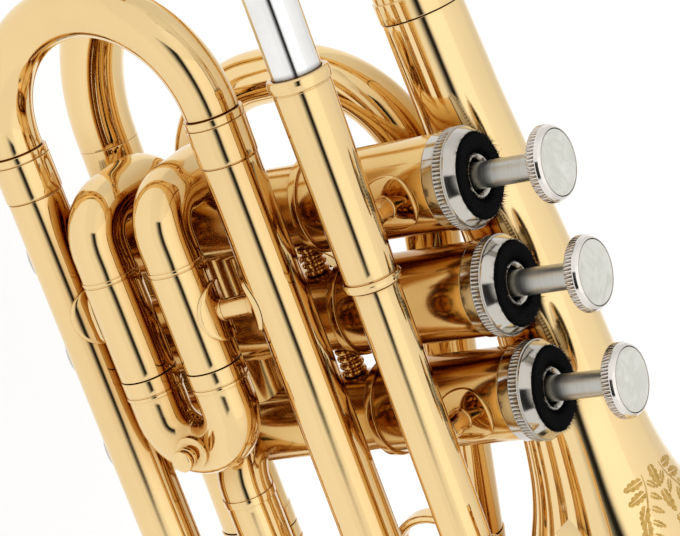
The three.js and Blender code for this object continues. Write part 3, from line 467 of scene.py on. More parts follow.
def pearl_material():
    n = Look("pearl")
    swirl = n.noise(85, 3, 0.5, 1.6)
    tone = n.ramp(swirl, [(0.32, (0.58, 0.57, 0.50)), (0.48, (0.70, 0.69, 0.62)), (0.55, (0.62, 0.61, 0.54)),
                          (0.68, (0.74, 0.73, 0.66))])
    return n.set(Base_Color=tone, Roughness=0.2, Coat_Weight=0.5, Coat_Roughness=0.04, Specular_IOR_Level=0.5)


def engraved_material():
    """The matte gold that a graver leaves."""
    n = Look("engraved")
    cuts = n.noise(900, 5, 0.7)
    tone = n.ramp(cuts, [(0.35, (0.44, 0.27, 0.06)), (0.6, (0.66, 0.43, 0.13))])
    return n.set(Base_Color=tone, Metallic=1.0, Roughness=0.5, Normal=n.bump(cuts, 0.3, 0.0005))


def soft_material(name, colour, scale, strength, roughness):
    n = Look(name)
    grain = n.noise(scale, 5, 0.7)
    tone = n.ramp(grain, [(0.35, scaled(colour, 0.6)), (0.6, colour)])
    normal = n.bump(grain, strength, 0.0005)
    return n.set(Base_Color=tone, Roughness=roughness, Normal=normal)


BRASS = brass("brass", (0.85, 0.62, 0.30), 0.035, 0.075, 14, 22)
SATIN = brass("brass_satin", (0.79, 0.545, 0.215), 0.08, 0.19, 70, 19)
BELL = brass("brass_bell", (0.89, 0.66, 0.33), 0.04, 0.09, 9, 10)
ENGRAVED = engraved_material()
NICKEL = plated("nickel", (0.81, 0.765, 0.71), 0.05, 0.12, 0.03)
# The caps use a darker copy of the same nickel: painted shade for the greyer reflections that the caps show
SHADED_CAP_NICKEL = plated("nickel_cap_shaded", (0.60, 0.565, 0.505), 0.07, 0.14, 0.03)
SILVER = plated("silver", (0.88, 0.87, 0.85), 0.05, 0.10, 0.02)
STEM = brushed("stem_metal", (0.55, 0.54, 0.49), 0.26, 0.38, (60, 60, 1600))
SPRING = brushed("spring", (0.5, 0.5, 0.51), 0.25, 0.35, (400, 400, 400))
FELT = felt_material()
PEARL = pearl_material()
NYLON = soft_material("nylon", (0.85, 0.84, 0.80), 500, 0.05, 0.45)
CORK = soft_material("cork", (0.55, 0.34, 0.16), 900, 0.5, 0.85)


# Valve block
TOP_THREAD_RADIUS = 10.4
TOP_THREAD = 4.2
FOOT_THREAD_RADIUS = 9.3
FOOT_THREAD = 9.9
CAP_RADIUS = 11.6
CAP_KNURL_RADIUS = 11.95
CAP_RECESS = 2.2
CAP_ROOF = 1.5
FOOT_CAP_RADIUS = 9.95
STEM_RADIUS = 3.12
STEM_FOOT_Z = 56.7
BUTTON_HEIGHT = 3.5
BUTTON_KNURL = 2.1


def ripples(count, groove_shade, low, high):
    """A shape for swept: knurled all round, between two places along the route."""
    def radius_of(angle, distance, radius):
        if low < distance < high:
            return radius - groove_shade * (0.5 - 0.5 * cos(angle * count))
        return radius
    return radius_of


def turned(name, number, outline, material, node=None, body="horn", **options):
    """A piece about the axis of a valve."""
    axis = upright(VALVE_XS[number])
    sweep(f"{name}_{number}", outline, axis, material, body, node and f"{node}_{number}", **options)


def casing(number):
    band_z = STEP_Z + 2.1
    neck_radius = UPPER_RADIUS - 0.15
    top_z = SHOULDER_Z + TOP_THREAD
    foot_z = FOOT_Z - FOOT_THREAD
    outline = [
        (FOOT_THREAD_RADIUS, foot_z), (FOOT_THREAD_RADIUS, FOOT_Z), (LOWER_RADIUS, FOOT_Z),
        (LOWER_RADIUS, STEP_Z), (BEAD_RADIUS, STEP_Z, 0.25), (BEAD_RADIUS, band_z, 0.25),
        (neck_radius, band_z, 0.05), (neck_radius, band_z + 0.3, 0.05), (UPPER_RADIUS, band_z + 0.4),
        (UPPER_RADIUS, SHOULDER_Z), (TOP_THREAD_RADIUS, SHOULDER_Z), (TOP_THREAD_RADIUS, top_z),
        (CASING_BORE, top_z), (CASING_BORE, foot_z),
    ]
    turned("casing", number, outline, SATIN, "valve_casing", sides=VALVE_SIDES, step=8)


def top_cap(number):
    base = SHOULDER_Z + GAP
    knurl = base + 2.9
    floor = CAP_TOP_Z - CAP_RECESS
    ceiling = floor - CAP_ROOF
    outline = [
        (CAP_RADIUS, base, 0.2), (CAP_RADIUS, knurl, 0.1), (CAP_KNURL_RADIUS, knurl + 0.2, 0.1),
        (CAP_KNURL_RADIUS, knurl + 0.45, 0), (CAP_KNURL_RADIUS, knurl + 2.2, 0),
        (CAP_KNURL_RADIUS, knurl + 2.45, 0.15), (CAP_RADIUS, knurl + 2.6, 0.1),
        (CAP_RADIUS, CAP_TOP_Z - 2.4, 0.1), (10.2, CAP_TOP_Z, 0.1), (9.95, CAP_TOP_Z, 0.1),
        (9.95, floor, 0.1), (5.5, floor, 0.1), (5.5, CAP_TOP_Z - 0.25, 0.3), (4.75, CAP_TOP_Z + 0.1, 0.2),
        (3.9, CAP_TOP_Z - 0.8, 0.2), (3.7, ceiling), (10.7, ceiling), (10.7, base),
    ]
    turned("cap", number, outline, SHADED_CAP_NICKEL, "top_cap", sides=KNURL_SIDES, step=4,
           shape=ripples(76, 0.4, knurl + 0.3, knurl + 2.4))


FIBRES = 1600
FIBRE_RADIUS = 0.1
FELT_FOOT_Z = CAP_TOP_Z - 1.9
FELT_RADIUS = 9.75


def around(angle, height=0):
    return Vector((cos(angle), sin(angle), height))


def fuzz(bm, centre, seed):
    """Loose fibres standing up from the felt, as thin three-sided needles."""
    chance = random.Random(seed)
    for _ in range(FIBRES):
        angle = chance.uniform(0, TURN)
        on_face = chance.uniform(5.9, 9.5)
        on_edge = [chance.gauss(FELT_RADIUS, 0.1) for _ in range(2)]
        by_stem = chance.gauss(5.8, 0.12)
        root = centre + around(angle, -0.03) * chance.choice((on_face, *on_edge, by_stem))
        lean = Vector((chance.uniform(-1, 1), chance.uniform(-1, 1), chance.uniform(0.1, 1.1))).normalized()
        tip = bm.verts.new((root + lean * chance.uniform(0.6, 1.9)) * MM)
        foot = [bm.verts.new((root + around(TURN * i / 3) * FIBRE_RADIUS) * MM) for i in range(3)]
        for i in range(3):
            bm.faces.new((foot[i], foot[(i + 1) % 3], tip))
        bm.faces.new(reversed(foot))


def felt(number):
    x = VALVE_XS[number]
    outline = [
        (5.8, FELT_FOOT_Z), (FELT_RADIUS, FELT_FOOT_Z), (9.85, CAP_TOP_Z + 0.1, 0.3),
        (9.4, CAP_TOP_Z + 0.55, 0.4), (6.2, CAP_TOP_Z + 0.4, 0.4), (5.75, CAP_TOP_Z - 0.2, 0.4),
    ]

    def uneven(angle, distance, radius):
        spot = around(angle) * radius + UP * (distance + number * 9)
        groove_shade = 0.34 if radius < 7 else 0.16
        return radius + groove_shade * noise.noise(spot * 1.7) + 0.12 * noise.noise(spot * 6)
    bm = bmesh.new()
    swept(bm, outline, upright(x), sides=FELT_SIDES, step=0.4, shape=uneven)
    fuzz(bm, Vector((x, 0, CAP_TOP_Z + 0.25)), number)
    washer = mesh_object(f"felt_{number}", bm, FELT, "horn", f"felt_washer_{number}")
    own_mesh(washer)


def bottom_cap(number):
    rim = FOOT_Z - GAP
    floor = rim - FOOT_THREAD
    under = floor - 1.2
    boss = under - 0.8
    groove_radius = FOOT_CAP_RADIUS - 0.35
    outline = [
        (1.6, boss), (4, boss, 0.3), (4, under, 0.2), (8.55, under, 0.6), (FOOT_CAP_RADIUS, under + 1.4, 0.5),
        (FOOT_CAP_RADIUS, rim - 4.2), (groove_radius, rim - 4.0), (groove_radius, rim - 3.6),
        (FOOT_CAP_RADIUS, rim - 3.4, 0), (FOOT_CAP_RADIUS, rim - 0.6, 0), (FOOT_CAP_RADIUS, rim, 0.2),
        (9.6, rim), (9.6, floor), (1.6, floor),
    ]
    turned("foot_cap", number, outline, SHADED_CAP_NICKEL, "bottom_cap", sides=KNURL_SIDES, step=4,
           shape=ripples(80, 0.25, rim - 3.3, rim - 0.5))


def button(number):
    body = f"valve_{number}"
    top = BUTTON_Z + BUTTON_HEIGHT
    knurl_top = BUTTON_Z + BUTTON_KNURL
    socket_z = BUTTON_Z + 1.7
    outline = [
        (0, socket_z), (3.4, socket_z), (3.4, BUTTON_Z), (8.55, BUTTON_Z, 0.15), (8.85, BUTTON_Z + 0.25, 0),
        (8.85, knurl_top - 0.15, 0), (8.75, knurl_top, 0.1), (8.7, knurl_top + 0.2, 0.1),
        (8.35, knurl_top + 0.8, 0.1), (7.8, top, 0.3), (7.62, top - 0.25, 0.05), (7.62, top - 1.2),
        (0, top - 1.2),
    ]
    turned("button", number, outline, NICKEL, "finger_button", body, sides=BUTTON_SIDES, step=4,
           shape=ripples(64, 0.36, BUTTON_Z + 0.2, knurl_top - 0.1))
    inlay = [(0, top - 0.9), (7.5, top - 0.9), (7.5, top - 0.1, 0.15), (6.6, top + 0.2, 0.8),
             (4.5, top + 0.42, 1.5), (0, top + 0.5)]
    turned("pearl", number, inlay, PEARL, "pearl_inlay", body, sides=VALVE_SIDES, step=1)
    stem_top = socket_z - 0.1
    stem = [(STEM_RADIUS, STEM_FOOT_Z), (STEM_RADIUS, stem_top), (2.4, stem_top), (2.4, STEM_FOOT_Z)]
    turned("stem", number, stem, STEM, body=body, sides=POST_SIDES, step=4)


def knuckle(number, following):
    start, end = VALVE_XS[number], VALVE_XS[following]
    axis = line((start, 0, KNUCKLE_Z), (end, 0, KNUCKLE_Z))
    tube(f"knuckle_{number}{following}", axis, KNUCKLE_RADIUS, f"knuckle_{number}_{following}",
         material=SATIN, seats=(start, end))


def stay(start_x, end_x):
    """A ribbed turned stay between two casings above the knuckle."""
    length = end_x - start_x
    pitch = length / STAY_RIBS
    outline = [(0, 0)]
    for i in range(STAY_RIBS):
        foot = i * pitch
        head = foot + pitch
        outline += [(2.3, foot + 0.02), (2.4, foot + 0.3, 0.1), (3.0, foot + 0.45, 0.2),
                    (3.15, foot + pitch / 2, 0.3), (3.0, head - 0.45, 0.2), (2.4, head - 0.3, 0.1)]
    outline.append((0, length))
    axis = line((start_x, 0, STAY_Z), (end_x, 0, STAY_Z))
    sweep(f"stay_{abs(int(start_x))}_{abs(int(end_x))}", outline, axis, SATIN, "horn", sides=SMALL_SIDES,
          step=1, fillet=0.1)


for number in VALVE_XS:
    casing(number)
    top_cap(number)
    felt(number)
    bottom_cap(number)
    button(number)
for number in (1, 2):
    knuckle(number, number + 1)
for number in (1, 2):
    stay(VALVE_XS[number] + LOWER_RADIUS - STAY_SUNK, VALVE_XS[number + 1] - LOWER_RADIUS + STAY_SUNK)

# Leadpipe, receiver and mouthpiece
RECEIVER_X = -65.5
RECEIVER_END_X = -14
RECEIVER_SOCKET = 24.8
MOUTHPIECE_LENGTH = 87
SHANK_START = 62.5
SHANK_RADIUS = 5.85
SHANK_TAPER = 0.024
SHANK_WALL = 1.3
LEADPIPE_BORE = 4.5
LEADPIPE_SUNK = 10


def shank(distance):
    return SHANK_RADIUS - SHANK_TAPER * (distance - SHANK_START)


def mouthpiece():
    """Rim, cup and shank outside, then shank bore, throat and cup inside."""
    tip = shank(MOUTHPIECE_LENGTH)
    outline = [
        (9.1, 0.15, 0.8), (10.6, 0, 1.5), (12.9, 0.35, 1.0), (13.5, 1.5, 0.8), (13.5, 3, 0.6),
        (12.6, 4.2, 0.8), (12.3, 7.5, 2), (12.0, 12.8, 3), (10.5, 17.9, 3), (8.2, 23.0, 3), (6.8, 27.5, 3),
        (6.1, 32, 4), (6.0, 40, 4), (shank(SHANK_START), SHANK_START), (tip, MOUTHPIECE_LENGTH, 0.2),
        (tip - SHANK_WALL, MOUTHPIECE_LENGTH, 0.2), (2.6, 45, 3), (1.85, 18, 0.6), (1.85, 11, 0.8),
        (3.7, 9.6, 1), (6.4, 6.6, 2), (7.7, 3.85, 2), (8.2, 1.2, 0.8),
    ]
    axis = line((RECEIVER_X - SHANK_START, LEAD_Y, LEAD_Z), (0, LEAD_Y, LEAD_Z))
    sweep("mouthpiece_body", outline, axis, SILVER, "mouthpiece", "mouthpiece", sides=VALVE_SIDES, step=2)


def receiver():
    """A rolled mouth, a long barrel and a ringed end that holds the leadpipe."""
    end = RECEIVER_END_X - RECEIVER_X
    outline = [
        (7.2, 0, 0.7), (7.45, 1.5, 1.0), (7.25, 2.9, 0.3), (6.75, 3.05, 0.05), (6.75, 3.35, 0.05),
        (6.85, 3.5, 0.1), (6.3, end - 2.5), (6.1, end - 2.45, 0.03), (6.1, end - 2.15, 0.03),
        (6.6, end - 2.1, 0.2), (6.95, end - 1.4, 0.5), (6.8, end - 0.2, 0.4), (6.1, end, 0.2), (5.4, end),
        (5.4, RECEIVER_SOCKET), (shank(MOUTHPIECE_LENGTH) + GAP, RECEIVER_SOCKET),
        (SHANK_RADIUS + GAP, 0.8, 0.1), (5.95, 0, 0.1),
    ]
    axis = line((RECEIVER_X, LEAD_Y, LEAD_Z), (0, LEAD_Y, LEAD_Z))
    sweep("receiver", outline, axis, BRASS, "horn", "mouthpiece_receiver", sides=VALVE_SIDES)


def leadpipe():
    """The pipe, with a thinner end inside the receiver."""
    axis = line((RECEIVER_END_X - LEADPIPE_SUNK, LEAD_Y, LEAD_Z), (FRONT_X, LEAD_Y, LEAD_Z))
    shoulder = LEADPIPE_SUNK + GAP
    outline = [(5.1, 0), (5.1, shoulder), (LEAD_RADIUS, shoulder), (LEAD_RADIUS, axis.length),
               (LEADPIPE_BORE, axis.length), (LEADPIPE_BORE, 0)]
    sweep("leadpipe_tube", outline, axis, BRASS, "horn", "leadpipe")


mouthpiece()
receiver()
leadpipe()


# Bows and legs
def beaded(low, high, radius):
    """A ferrule with a groove and a fine bead at its far end."""
    return [(low, high - BEAD_WIDTH - BEAD_GROOVE, radius), (high - BEAD_WIDTH, high, radius + BEAD_RISE)]


def mirrored(route, bands):
    return [(route.length - high, route.length - low, size) for low, high, size in bands]


def end_bands(route, length, radius):
    bands = beaded(0, length, radius)
    return bands + mirrored(route, bands)


front_bow = bow_route((FRONT_X + GAP, LEAD_Y, LEAD_Z), (FRONT_X + GAP, LEG_Y, LOWER_LEG_Z), 0.5)
tube("bow_front", front_bow,
     lambda distance: LEAD_RADIUS + (MAIN_RADIUS - LEAD_RADIUS) * distance / front_bow.length,
     "front_bow",
     [(0, 5, LEAD_RADIUS + 0.5), (front_bow.length - 5, front_bow.length, MAIN_RADIUS + FERRULE)])
LEG_BANDS = [
    (0, 1.8, MAIN_RADIUS + FERRULE), (2.05, 11, MAIN_RADIUS + FERRULE), (11, 11.45, MAIN_RADIUS - UNDERCUT)]
for name, z in (("upper", UPPER_LEG_Z), ("lower", LOWER_LEG_Z)):
    leg = line((LEG_END_X, LEG_Y, z), (FRONT_X, LEG_Y, z))
    tube(f"leg_{name}", leg, MAIN_RADIUS, f"{name}_leg", LEG_BANDS)

INLET_Z = -24.6
INLET_Y = -14.5
INLET_RADIUS = 6.4
front_crook = bow_route((FRONT_X + GAP, LEG_Y, UPPER_LEG_Z), (FRONT_X + GAP, INLET_Y, INLET_Z), 0.5)
tube("crook_front", front_crook, INLET_RADIUS, "front_crook",
     end_bands(front_crook, 5, MAIN_RADIUS + FERRULE))


def slide(name, route, bow_radius, tube_radius, leg_length, body, node, sleeve=None):
    """sleeve is the length and radius of the slide's own ferrule."""
    leg_radius = tube_radius - WALL - GAP
    leg_end = leg_length + GAP
    bands = [(0, leg_end, leg_radius)]
    if sleeve:
        bands += beaded(leg_end, leg_end + sleeve[0], sleeve[1])
    bands += mirrored(route, bands)
    tube(name, route, bow_radius, node, bands, body=body, bore=leg_radius - WALL)


# Main tuning slide
CROOK_RADIUS = 6.45
TUNING_LEG = 34
tuning_x = LEG_END_X + TUNING_LEG
tuning_route = bow_route((tuning_x, LEG_Y, UPPER_LEG_Z), (tuning_x, LEG_Y, LOWER_LEG_Z),
                         -(TUNING_LEG + GAP + 0.5))
slide("tuning_slide_tube", tuning_route, CROOK_RADIUS, MAIN_RADIUS, TUNING_LEG, "tuning_slide",
      "main_tuning_slide")

# First valve slide
FIRST_Y = -28.5
FIRST_ZS = (-8.5, -28.3)
FIRST_END_X = -1.8
FIRST_BACK_X = -42.5
FIRST_LEG = 24
FIRST_RADIUS = MAIN_RADIUS + FERRULE / 2
for name, z in zip(("upper", "lower"), FIRST_ZS):
    route = Route([(FIRST_END_X, FIRST_Y, z), (FIRST_BACK_X, FIRST_Y, z), (FIRST_BACK_X, 0, z),
                   (VALVE_XS[1], 0, z)], 9)
    tube(f"first_tube_{name}", route, MAIN_RADIUS, f"first_slide_tube_{name}",
         beaded(0, 25.9, FIRST_RADIUS), seats=(None, VALVE_XS[1]))
first_leg_x = FIRST_END_X - FIRST_LEG
first_route = bow_route((first_leg_x, FIRST_Y, FIRST_ZS[0]), (first_leg_x, FIRST_Y, FIRST_ZS[1]),
                        9.3 - first_leg_x)
slide("first_slide_tube", first_route, 6.9, MAIN_RADIUS, FIRST_LEG, "slide_1", "first_slide", (4.9, 7.05))
KNOB_X = 17.5


def knob():
    """The pull knob on the first slide's crook: a wide foot, a waist and a ringed head."""
    z = sum(FIRST_ZS) / 2
    outline = [(0, 6.3), (4.2, 6.3), (4.2, 7.8, 0.4), (1.9, 8.4, 0.3), (1.8, 9.1, 0.2), (2.8, 9.4, 0.3),
               (2.8, 10.5, 0.3), (2.0, 10.75, 0.1), (2.0, 11.0, 0.1), (2.8, 11.25, 0.3), (2.7, 12.2, 0.5),
               (1.4, 12.8, 0.4), (0, 12.85)]
    sweep("knob", outline, line((KNOB_X, FIRST_Y, z), (KNOB_X, FIRST_Y - 13, z)), BRASS, "slide_1",
          "first_slide_pull_knob", sides=POST_SIDES, step=0.5)


knob()

# Second valve slide
SECOND_ZS = (-8, -26)
SECOND_BACK_Y = 35
for z in SECOND_ZS:
    tube(f"second_tube_{abs(z)}", line((0, 0, z), (0, 20, z)), 6.3, None, seats=(VALVE_XS[2], None))
second_route = Route([(0, 11, SECOND_ZS[0]), (0, SECOND_BACK_Y, SECOND_ZS[0]),
                      (0, SECOND_BACK_Y, SECOND_ZS[1]), (0, 11, SECOND_ZS[1])], 9 - HAIR)
slide("second_slide_tube", second_route, 6.3, 6.3, 9, "slide_2", "second_slide", (4, 6.6))

# Third valve slide, with a ring for the finger
THIRD_Y = 8
THIRD_ZS = (-11, -40)
THIRD_RADIUS = 6.2
THIRD_END_X = 60
THIRD_LEG = 19
RING_RADIUS = 12.2
for name, z in zip(("upper", "lower"), THIRD_ZS):
    route = Route([(VALVE_XS[3], 0, z), (35, THIRD_Y, z), (THIRD_END_X, THIRD_Y, z)], 9)
    tube(f"third_tube_{name}", route, THIRD_RADIUS, f"third_slide_tube_{name}",
         [(route.length - 5, route.length, 6.5)], seats=(VALVE_XS[3], None))
third_x = THIRD_END_X - THIRD_LEG
third_route = bow_route((third_x, THIRD_Y, THIRD_ZS[0]), (third_x, THIRD_Y, THIRD_ZS[1]), 43)
slide("third_slide_tube", third_route, THIRD_RADIUS, THIRD_RADIUS, THIRD_LEG, "slide_3", "third_slide",
      (5, 6.5))
ring_centre = Vector((72, THIRD_Y, THIRD_ZS[0] + THIRD_RADIUS + RING_RADIUS))
sweep("slide_ring", [(RING_RADIUS, 0, 0.8), (RING_RADIUS, 5, 0.8), (10, 5, 0.8), (10, 0, 0.8)],
      line(ring_centre - LEFT * 2.5, ring_centre + LEFT * 2.5), BRASS, "slide_3", sides=96, step=1)

# Inlet of the third valve, and the left side
inlet = Route([(VALVE_XS[3], 0, INLET_Z), (28.8, INLET_Y, INLET_Z), (FRONT_X, INLET_Y, INLET_Z)], 10)
ring_from = inlet.length - (FRONT_X - 38.8)
tube("inlet", inlet, INLET_RADIUS, "valve_3_inlet", [(ring_from, ring_from + 2, INLET_RADIUS + FERRULE)],
     seats=(VALVE_XS[3], None))

LOOP_X, LOOP_Z = -22, -5.4
LOOP_BOW = 30.1
LOOP_FRONT = (76.9, 4.2)
EXIT_Z = -35.5
LOOP_TURN_X = -14


def loop_y(z):
    """The loop leans, so its y depends on its height."""
    return 30 + 0.09 * (z - LOOP_Z)


loop_slope = (LOOP_FRONT[1] - LOOP_Z - LOOP_BOW) / (LOOP_FRONT[0] - LOOP_X)
loop_back = LOOP_X - LOOP_BOW
loop_corner = LOOP_Z + LOOP_BOW - loop_slope * LOOP_BOW
loop = Route([
    (VALVE_XS[1], 0, EXIT_Z), (LOOP_TURN_X, loop_y(EXIT_Z), EXIT_Z), (loop_back, loop_y(EXIT_Z), EXIT_Z),
    (loop_back, loop_y(loop_corner), loop_corner),
    (LOOP_FRONT[0], loop_y(LOOP_FRONT[1]), LOOP_FRONT[1])], [8, 25, LOOP_BOW])
tube("loop_left", loop, lambda distance: 6.4 + 0.5 * min(1, max(0, (distance - 20) / 14)), "left_loop",
     seats=(VALVE_XS[1], None))

BELL_Y = 26.5
BELL_Z = 48.1
JOINT_X = -61
TAIL_X = -44.1
TAIL_Z = 44.5
KNEE_X = 10.9
RETURN_TAIL_X = -44.1
RETURN_TAIL_Z = -60.4
RETURN_FRONT_X = 67.4
RETURN_FRONT_Z = -63.4
return_slope = (RETURN_FRONT_Z - RETURN_TAIL_Z) / (RETURN_FRONT_X - RETURN_TAIL_X)
bell_slope = (BELL_Z - TAIL_Z) / (KNEE_X - TAIL_X)


def return_at(x):
    """The centre of the return tube, which slopes a little, at x."""
    return (x, BELL_Y, RETURN_TAIL_Z + return_slope * (x - RETURN_TAIL_X))


def bell_at(x):
    """The centre of the bell's tail at x."""
    return (x, BELL_Y, TAIL_Z + bell_slope * (x - TAIL_X))


left_start = loop.frame_at(loop.length + GAP)[0]
left_front = RETURN_FRONT_X + 36.8
left_bow = Route([
    left_start, (left_front, left_start[1], left_start[2] + loop_slope * (left_front - left_start[0])),
    return_at(left_front), return_at(RETURN_FRONT_X + GAP)], 32)
tube("bow_left", left_bow, 6.9, "left_front_bow", end_bands(left_bow, 5, 7.3))
return_line = line(return_at(RETURN_TAIL_X), return_at(RETURN_FRONT_X))
tube("return_left", return_line, lambda distance: 7.8 - 0.8 * distance / return_line.length, "return_tube")

# Bell
bow_back = RETURN_TAIL_X - GAP - 52.4
bell_bow = Route([bell_at(JOINT_X - GAP), bell_at(bow_back), return_at(bow_back),
                  return_at(RETURN_TAIL_X - HAIR)], [30, 52])
tube("bow_bell", bell_bow, lambda distance: 10.1 - 2.3 * distance / bell_bow.length, "bell_rear_bow",
     [(0, 5, 10.4)])

# Reach along the flare and girth above its start
BELL_SHARES = [(0, 0), (0.065, 0.005), (0.288, 0.047), (0.461, 0.086), (0.608, 0.148), (0.691, 0.217),
               (0.767, 0.339), (0.831, 0.479), (0.895, 0.673), (0.946, 0.855), (0.978, 0.975), (0.988, 1)]
BELL_MOUTH_X = 112.4
BELL_TAIL_RADIUS = 10.1
FLARE_RADIUS = 10.3
FLARE_GIRTH = 35.9
BELL_WALL = 1.2
bell_route = Route([bell_at(JOINT_X), bell_at(KNEE_X), (BELL_MOUTH_X, BELL_Y, BELL_Z)], 200)
tail_length = (TAIL_X - JOINT_X) * hypot(1, bell_slope)


def eased(points, parts=6):
    """Catmull-Rom points through the given ones."""
    out = []
    padded = [points[0], *points, points[-1]]
    for i in range(1, len(padded) - 2):
        a, b, c, d = (Vector(padded[k]) for k in range(i - 1, i + 3))
        for part in range(parts):
            t = part / parts
            out.append(0.5 * (2 * b + (c - a) * t + (2 * a - 5 * b + 4 * c - d) * t * t
                              + (3 * b - a - 3 * c + d) * t ** 3))
    out.append(Vector(points[-1]))
    return out


bell_length = bell_route.length
flare = [(BELL_TAIL_RADIUS, 0)]
for reach, girth in BELL_SHARES:
    flare.append((FLARE_RADIUS + girth * FLARE_GIRTH, tail_length + (bell_length - tail_length) * reach))
bell_outside = [tuple(point) for point in eased(flare[:-1])]
bell_rim = [(46.6, bell_length - 1.9, 0.4), (47.0, bell_length - 1.2, 0.5), (47.0, bell_length - 0.5, 0.5),
            (46.4, bell_length, 0.4), (45.4, bell_length, 0.3)]
bell_inside = [(radius - BELL_WALL, distance) for radius, distance in reversed(bell_outside)]
sweep("bell_flare", bell_outside + bell_rim + bell_inside, bell_route, BELL, "horn", "bell",
      sides=BELL_SIDES, step=2)

# A leafy scroll cut into the bell
ETCH_WIDTH = 0.42
ETCH_LIFT = 0.02
ETCH_ANGLE = radians(-14)
SCROLL_X = 60.5
SCROLL_LENGTH = 34
SCROLL_PARTS = 60
VEIN_HALF = 0.2
LEAF_PARTS = 20


def on_bell(x, arc):
    """The point of the bell's outside at x, and arc to the side of the scroll's middle."""
    distance = x - JOINT_X
    radius = bell_outside[-1][0]
    for low, high in zip(bell_outside, bell_outside[1:]):
        if low[1] <= distance < high[1]:
            radius = low[0] + (high[0] - low[0]) * (distance - low[1]) / (high[1] - low[1])
            break
    return wall_point(bell_route, distance, ETCH_ANGLE + arc / radius, radius + ETCH_LIFT)


def etched_line(bm, points, width):
    """A thin ribbon along the points on the bell, pointed at both ends."""
    last = len(points) - 1
    left, right = [], []
    for i, (x, arc) in enumerate(points):
        before, after = points[max(i - 1, 0)], points[min(i + 1, last)]
        run = Vector((after[0] - before[0], after[1] - before[1])).normalized()
        half = width / 2 * (0.35 + 0.65 * sin(pi * i / last))
        left.append(bm.verts.new(on_bell(x - run.y * half, arc + run.x * half) * MM))
        right.append(bm.verts.new(on_bell(x + run.y * half, arc - run.x * half) * MM))
    for i in range(last):
        bm.faces.new((left[i], left[i + 1], right[i + 1], right[i]))


def leaf(bm, x, arc, heading, size):
    """A pointed leaf with a wavy edge: two matte halves with a bright vein left between them."""
    run_x, run_arc = cos(heading) * size, sin(heading) * size
    for sign in (-1, 1):
        across_x, across_arc = -sin(heading) * sign, cos(heading) * sign
        rows = []
        for i in range(LEAF_PARTS + 1):
            share = i / LEAF_PARTS
            swell = 0.15 * sin(pi * share ** 0.8) + 0.07 * abs(sin(4 * pi * share))
            vein = VEIN_HALF * (1 - share)
            spots = [on_bell(x + run_x * share + across_x * girth, arc + run_arc * share + across_arc * girth)
                     for girth in (vein, vein + size * swell + HAIR)]
            rows.append([bm.verts.new(spot * MM) for spot in spots])
        for near, far in zip(rows, rows[1:]):
            corners = [near[0], near[1], far[1], far[0]]
            bm.faces.new(corners if sign > 0 else [corners[0], corners[3], corners[2], corners[1]])


def scroll():
    """Two curved stems with leaves to both sides, and a row of leaves between them."""
    bm = bmesh.new()
    for sign in (-1, 1):
        stem = []
        for i in range(SCROLL_PARTS + 1):
            share = i / SCROLL_PARTS
            stem.append((SCROLL_X + SCROLL_LENGTH * share, sign * (3.5 + 7 * sin(pi * share) ** 2)))
        etched_line(bm, stem, ETCH_WIDTH * 1.4)
        for i in range(2, SCROLL_PARTS - 2, 5):
            x, arc = stem[i]
            leaf(bm, x, arc + sign * 0.5, sign * (1.0 + 0.5 * sin(i)), 5.6)
            leaf(bm, x + 1.0, arc - sign * 0.5, sign * -0.75, 3.4)
    for i in range(5):
        leaf(bm, SCROLL_X - 1 + 6.6 * i, 0, 0, 6)
    mesh_object("scroll", bm, ENGRAVED, "horn")


scroll()

# Braces: a thin round saddle soldered on each tube and a short post with a ring at its foot
SADDLE_FOOT = 0.12
SADDLE_THICKNESS = 0.75
SADDLE_EDGE = 0.1
SADDLE_RADIUS = 7.3
POST_RADIUS = 2.7
POST_RING = 0.35
POST_SUNK = 0.3


def saddle(bm, centre, axis, toward, tube_radius):
    """A round plate bent over a tube. toward points from the tube's centre to the plate."""
    across = axis.cross(toward).normalized()
    out = (toward - axis * toward.dot(axis)).normalized()
    high = SADDLE_FOOT + SADDLE_THICKNESS
    profile = [(SADDLE_RADIUS * share, high) for share in (0, 0.25, 0.5, 0.75, 0.9)]
    profile += [(SADDLE_RADIUS - SADDLE_EDGE, high), (SADDLE_RADIUS - 0.04, high - 0.04),
                (SADDLE_RADIUS, high - SADDLE_EDGE)]
    profile += [(SADDLE_RADIUS * share, SADDLE_FOOT) for share in (1, 0.5, 0)]
    rings = []
    for reach, lift in profile:
        size = tube_radius + lift
        ring = []
        for i in range(TUBE_SIDES if reach else 1):
            angle = TURN * i / TUBE_SIDES
            turn, forward = reach * cos(angle) / size, reach * sin(angle)
            rise = out * cos(turn) + across * sin(turn)
            ring.append(bm.verts.new((centre + rise * size + axis * forward) * MM))
        rings.append(ring if reach else ring * TUBE_SIDES)
    joined(bm, rings)


def brace(node, ends, post_radius):
    """A post between two tubes. Each end is a centre, a tube's axis and radius, and if it has a saddle."""
    bm = bmesh.new()
    start, stop = ends[0][0], ends[1][0]
    toward = (stop - start).normalized()
    for (centre, axis, radius, has_saddle), sign in zip(ends, (1, -1)):
        if has_saddle:
            saddle(bm, centre, axis, toward * sign, radius)
    first = ends[0][2] - POST_SUNK
    last = (stop - start).length - ends[1][2] + POST_SUNK
    ring = post_radius + POST_RING
    outline = [
        (0, first), (ring, first), (ring, first + 1.35, 0.15), (ring - 0.15, first + 1.5, 0.1),
        (post_radius, first + 1.5, 0.1), (post_radius, last - 1.5, 0.1), (ring - 0.15, last - 1.5, 0.1),
        (ring, last - 1.35, 0.15), (ring, last), (0, last),
    ]
    swept(bm, outline, Route([start, stop], hint=ends[0][1]), sides=POST_SIDES, step=1)
    mesh_object(f"{node}_piece", bm, BRASS, "horn", node)


def on_casing(number, z):
    return (Vector((VALVE_XS[number], 0, z)), UP, UPPER_RADIUS, True)


